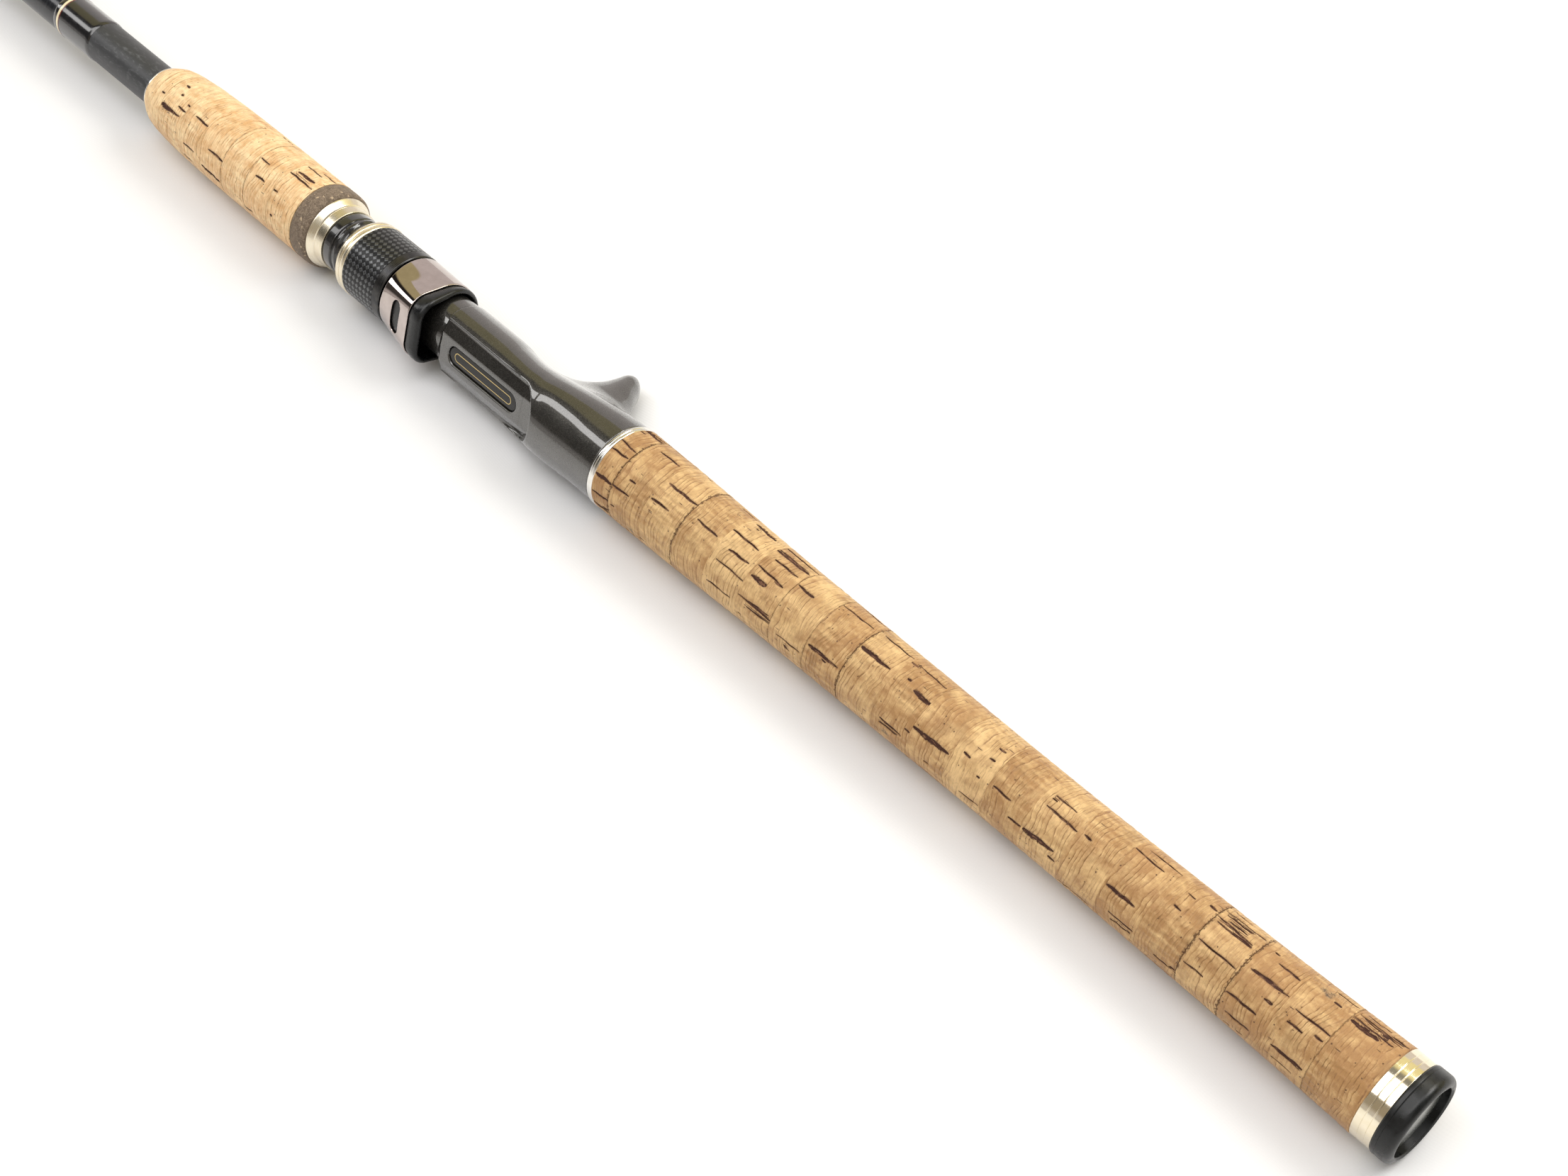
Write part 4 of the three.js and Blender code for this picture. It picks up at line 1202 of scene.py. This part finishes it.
def guide_station(index):
    """The guides stand wider apart towards the handle. Number 0 is the tip top."""
    return TIP_END - 2 - 94 * index - 6 * index ** 2


def tube(path, half_width, half_height, sides=12):
    """Corners and faces of a closed bar along a path of (station, side, height), with flat ends; its half width
    and height may change along it.
    """
    path = np.asarray(path, float)
    way = np.gradient(path, axis=0)
    way /= np.linalg.norm(way, axis=1)[:, None]
    across = np.cross(way, [0.02, 0.01, 1.0])
    across /= np.linalg.norm(across, axis=1)[:, None]
    up = np.cross(across, way)
    angle = np.arange(sides) * 2 * np.pi / sides
    half_width = np.broadcast_to(half_width, len(path))[:, None, None]
    half_height = np.broadcast_to(half_height, len(path))[:, None, None]
    rings = (path[:, None] + across[:, None] * half_width * np.cos(angle)[:, None]
             + up[:, None] * half_height * np.sin(angle)[:, None])
    corners = np.vstack([rings.reshape(-1, 3), path[:1], path[-1:]])
    faces = []
    for i in range(len(path) - 1):
        for j in range(sides):
            k = (j + 1) % sides
            faces.append((i * sides + j, i * sides + k, (i + 1) * sides + k, (i + 1) * sides + j))
    first, last = len(corners) - 2, len(corners) - 1
    end = (len(path) - 1) * sides
    for j in range(sides):
        k = (j + 1) % sides
        faces.append((first, first, k, j))
        faces.append((last, last, end + j, end + k))
    return corners, faces


def ring_arrays(station, height, outline, segments=64):
    """A ring across the rod, turned from (offset along the rod, radius) points about its own centre."""
    corners, faces, _, _ = lathe_arrays(outline, segments)
    corners[:, 0] -= station
    corners[:, 2] += height
    return corners * [-1, 1, 1], faces.tolist()


def gather(name, parts):
    """One mesh from parts given as corners (station, side, height) and faces."""
    work = bmesh.new()
    for corners, faces in parts:
        made = [work.verts.new((-c[0] * MM, c[1] * MM, c[2] * MM)) for c in corners]
        for face in faces:
            loop = list(dict.fromkeys(face))
            work.faces.new([made[i] for i in loop])
    bmesh.ops.recalc_face_normals(work, faces=work.faces)
    mesh = bpy.data.meshes.new(name)
    work.to_mesh(mesh)
    work.free()
    mesh.shade_smooth()
    mesh.set_sharp_from_angle(angle=math.radians(40))
    return mesh


def curve(points, steps=14):
    """A smooth path through the given points."""
    p = np.array(points, float)
    at = np.linspace(0, len(p) - 1, steps)
    return np.stack([through(list(enumerate(p[:, k])))(at) for k in range(3)], 1)


def add_guide(index, metal, ceramic, wrap):
    station = guide_station(index)
    bore = SMALL_GUIDE_BORE + max(0, index - SMALL_GUIDE_COUNT) * BORE_STEP
    holder = bore + HOLDER_WALL
    surface = float(blank_radius(station))
    height = surface + 1.6 + 0.5 * index + holder + 0.6
    name = "tip_top" if index == 0 else f"guide_{index}"
    band = [(-BAND_HALF_LENGTH, holder), (-BAND_HALF_LENGTH, holder + BAND_WALL),
            (BAND_HALF_LENGTH, holder + BAND_WALL), (BAND_HALF_LENGTH, holder)]
    band = rounded(band, 0.2, 3)
    parts = [ring_arrays(station, height, band)]
    if index == 0:
        back, front = station - 11, station - 0.2
        sleeve = rounded([(back, 1.2), (back, 2), (front, 2), (front, 1.2)], 0.3, 3)
        corners, faces, _, _ = lathe_arrays(sleeve, 48)
        parts.append((corners * [-1, 1, 1], faces.tolist()))
        ends = ((station - 4, 0, 1.4), (station - 1.5, 0, 2.4), (station, 0, height - holder - 0.2))
        parts.append(tube(curve(ends), 1.0, 0.55))
    else:
        reach, foot = 4 + index * 1.2, 6 + index * 1.2
        for way in (-1, 1):
            heel = station + way * reach
            toe = heel + way * foot
            rest = surface + 0.55
            for side in ((-1, 1) if way > 0 else (0,)):
                tilt = side * LEG_SPREAD
                top = (station, (holder + 0.3) * math.sin(tilt), height - (holder + 0.3) * math.cos(tilt))
                leg = curve([(toe - way * foot * 0.3, side * 0.4, rest), (heel + way, side * 0.7, rest),
                             (heel - way * 0.6, side * 0.9, rest + 0.5), top], 20)
                parts.append(tube(leg, 0.62 if side else 0.95, 0.5))
            share = np.linspace(0, 1, 12)
            sole = [(heel + way * (foot * f - 0.5), 0, rest - 0.15 - 0.2 * f) for f in share]
            parts.append(tube(sole, 1.35 * (1 - 0.55 * share), 0.45 * (1 - 0.6 * share)))
            ends = sorted((heel + way * 0.4, toe + way * 2.0))
            outline = wrap_outline(ends[0], ends[1], 1.05, 2.6)
            mesh = turned_mesh(f"{name}_wrap", outline, 72)
            part_name = f"{name}_wrap_{'front' if way > 0 else 'back'}"
            add_piece(part_name, mesh, wrap)
    add_fine(name + "_frame", gather(name, parts), metal)
    section = [(0.88 * math.cos(a), (bore + holder) / 2 + (holder - bore) / 2 * math.sin(a))
               for a in np.linspace(0, 2 * math.pi, 20, endpoint=False)]
    ring = gather(name + "_ring", [ring_arrays(station, height, section)])
    add_fine(name + "_ring", ring, ceramic)


# ---- Stage ----
FLOOR_SIZE = 14


def add_stage():
    bpy.ops.mesh.primitive_grid_add(x_subdivisions=8, y_subdivisions=8, size=FLOOR_SIZE, location=(0, 0, 0))
    floor = bpy.context.object
    floor.name = "floor"
    floor.data.materials.append(floor_material())


def area_light(name, spot, target, width, height, power, color):
    light = bpy.data.lights.new(name, "AREA")
    light.energy = power
    light.color = color
    light.shape = "RECTANGLE"
    light.size = width
    light.size_y = height
    obj = bpy.data.objects.new(name, light)
    bpy.context.scene.collection.objects.link(obj)
    obj.location = spot
    obj.rotation_mode = "QUATERNION"
    obj.rotation_quaternion = (target - spot).to_track_quat("-Z", "Y")


# What the rod mirrors. Each pair is the colour towards the tip and the colour near the butt.
SKY_CEILING = ((0.024, 0.022, 0.021), (0.3, 0.285, 0.25))
SKY_KHAKI = ((0.58, 0.51, 0.28), (0.95, 0.84, 0.45))
SKY_SHADE = ((0.07, 0.064, 0.058), (0.36, 0.31, 0.24))
SKY_NEAR_WALL = (0.8, 0.735, 0.7)
SKY_FAR_WALL = (0.6, 0.56, 0.53)
SKY_LAMP = (3.6, 3.55, 3.5)


def studio_sky(world):
    """Bright walls at the horizon, a khaki band, a dark ceiling and one wide lamp.

    The bands run along the rod and are drawn by the angle round it, in degrees: 0 on the key light's side,
    90 at the top and 180 on the other side."""
    s = Nodes(world.node_tree)
    toward = s.node("TexCoord", output="Generated")
    along, side, up = [s.axis(toward, letter) for letter in "XYZ"]
    turn = s.math("ARCTAN2", up, side) * (180 / math.pi)
    straight = turn + (along * 55.0 + 10.5)
    near_butt = s.ranged(along, -0.5, -0.22)
    lamp_end = s.ranged(along, -0.5, -0.22, 99, 137) + s.ranged(along, -0.66, -0.6, 4, 0)
    lamp = s.ranged(straight, 82, 84) * s.ranged(along, 0.1, 0.45, 1, 0)
    lamp = lamp * s.ranged(straight - lamp_end, -1.5, 1.5, 1, 0)
    bar = abs(along + 0.7)
    lamp = lamp * s.ranged(bar, 0.008, 0.014)
    ceiling, khaki, shade = [s.mix(near_butt, *pair) for pair in (SKY_CEILING, SKY_KHAKI, SKY_SHADE)]
    color = s.mix(s.ranged(straight, 60, 70), khaki, ceiling)
    color = s.mix(s.ranged(straight, 24, 28, 1, 0), color, SKY_NEAR_WALL)
    color = s.mix(s.ranged(turn, 128, 150), color, shade)
    color = s.mix(s.ranged(turn, 162, 174), color, SKY_FAR_WALL)
    color = s.mix(lamp, color, SKY_LAMP)
    s.feed(s.tree.nodes["Background"].inputs["Color"], color)


def add_lights():
    handle = from_station(270)
    area_light("key", handle + Vector((0.5, 0.85, 1.1)), handle, 0.9, 0.6, 12, (1, 0.985, 0.96))
    area_light("fill", handle + Vector((0.9, -0.8, 1.0)), handle, 1.0, 1.0, 1.2, (0.96, 0.98, 1))
    world = bpy.data.worlds.new("studio")
    bpy.context.scene.world = world
    world.use_nodes = True
    studio_sky(world)


CAMERA_OFFSET_MM = (103.3, -276.5, 468.1)
CAMERA_RIGHT = (0.6762, 0.7367, 0.0)
CAMERA_DOWN = (0.5526, -0.5072, -0.6613)
CAMERA_LENS = 54.08


def add_camera():
    right = Vector(CAMERA_RIGHT).normalized()
    up = -Vector(CAMERA_DOWN).normalized()
    back = right.cross(up)
    camera = bpy.data.objects.new("camera", bpy.data.cameras.new("camera"))
    bpy.context.scene.collection.objects.link(camera)
    matrix = Matrix((right, up, back)).transposed().to_4x4()
    matrix.translation = from_station(0) + Vector(CAMERA_OFFSET_MM) * MM
    camera.matrix_world = matrix
    camera.data.sensor_width = 36
    camera.data.lens = CAMERA_LENS
    camera.data.clip_start = 0.01
    bpy.context.scene.camera = camera


# ---- The whole rod ----
champagne = turned_metal("champagne_metal", (0.86, 0.785, 0.63), (0.83, 0.745, 0.57), 0.1, 0.001, 0.26)
silver = turned_metal("silver_metal", (0.84, 0.83, 0.8), (0.8, 0.78, 0.73), 0.12, 0.001)
black_wrap = wrap_material("thread_wrap", (0.004, 0.004, 0.005), 0.3)

add_butt(rubber_material("black_rubber", (0.004, 0.0046, 0.005), 0.31), champagne)
add_cork_handle()
add_checks(silver, champagne)
add_seat(gloss_black("seat_thread", (0.009, 0.0085, 0.0085), 0.2))
add_hood()
add_nut(champagne)
add_blank()
add_trim(black_wrap)
guide_metal = turned_metal("guide_metal", (0.11, 0.11, 0.12), (0.15, 0.15, 0.16), 0.28, 0.004)
guide_ceramic = gloss_black("guide_ceramic", (0.01, 0.01, 0.012), 0.1)
for index in range(GUIDE_COUNT + 1):
    add_guide(index, guide_metal, guide_ceramic, black_wrap)
add_stage()
add_lights()
add_camera()

bpy.context.scene.view_settings.view_transform = "Standard"
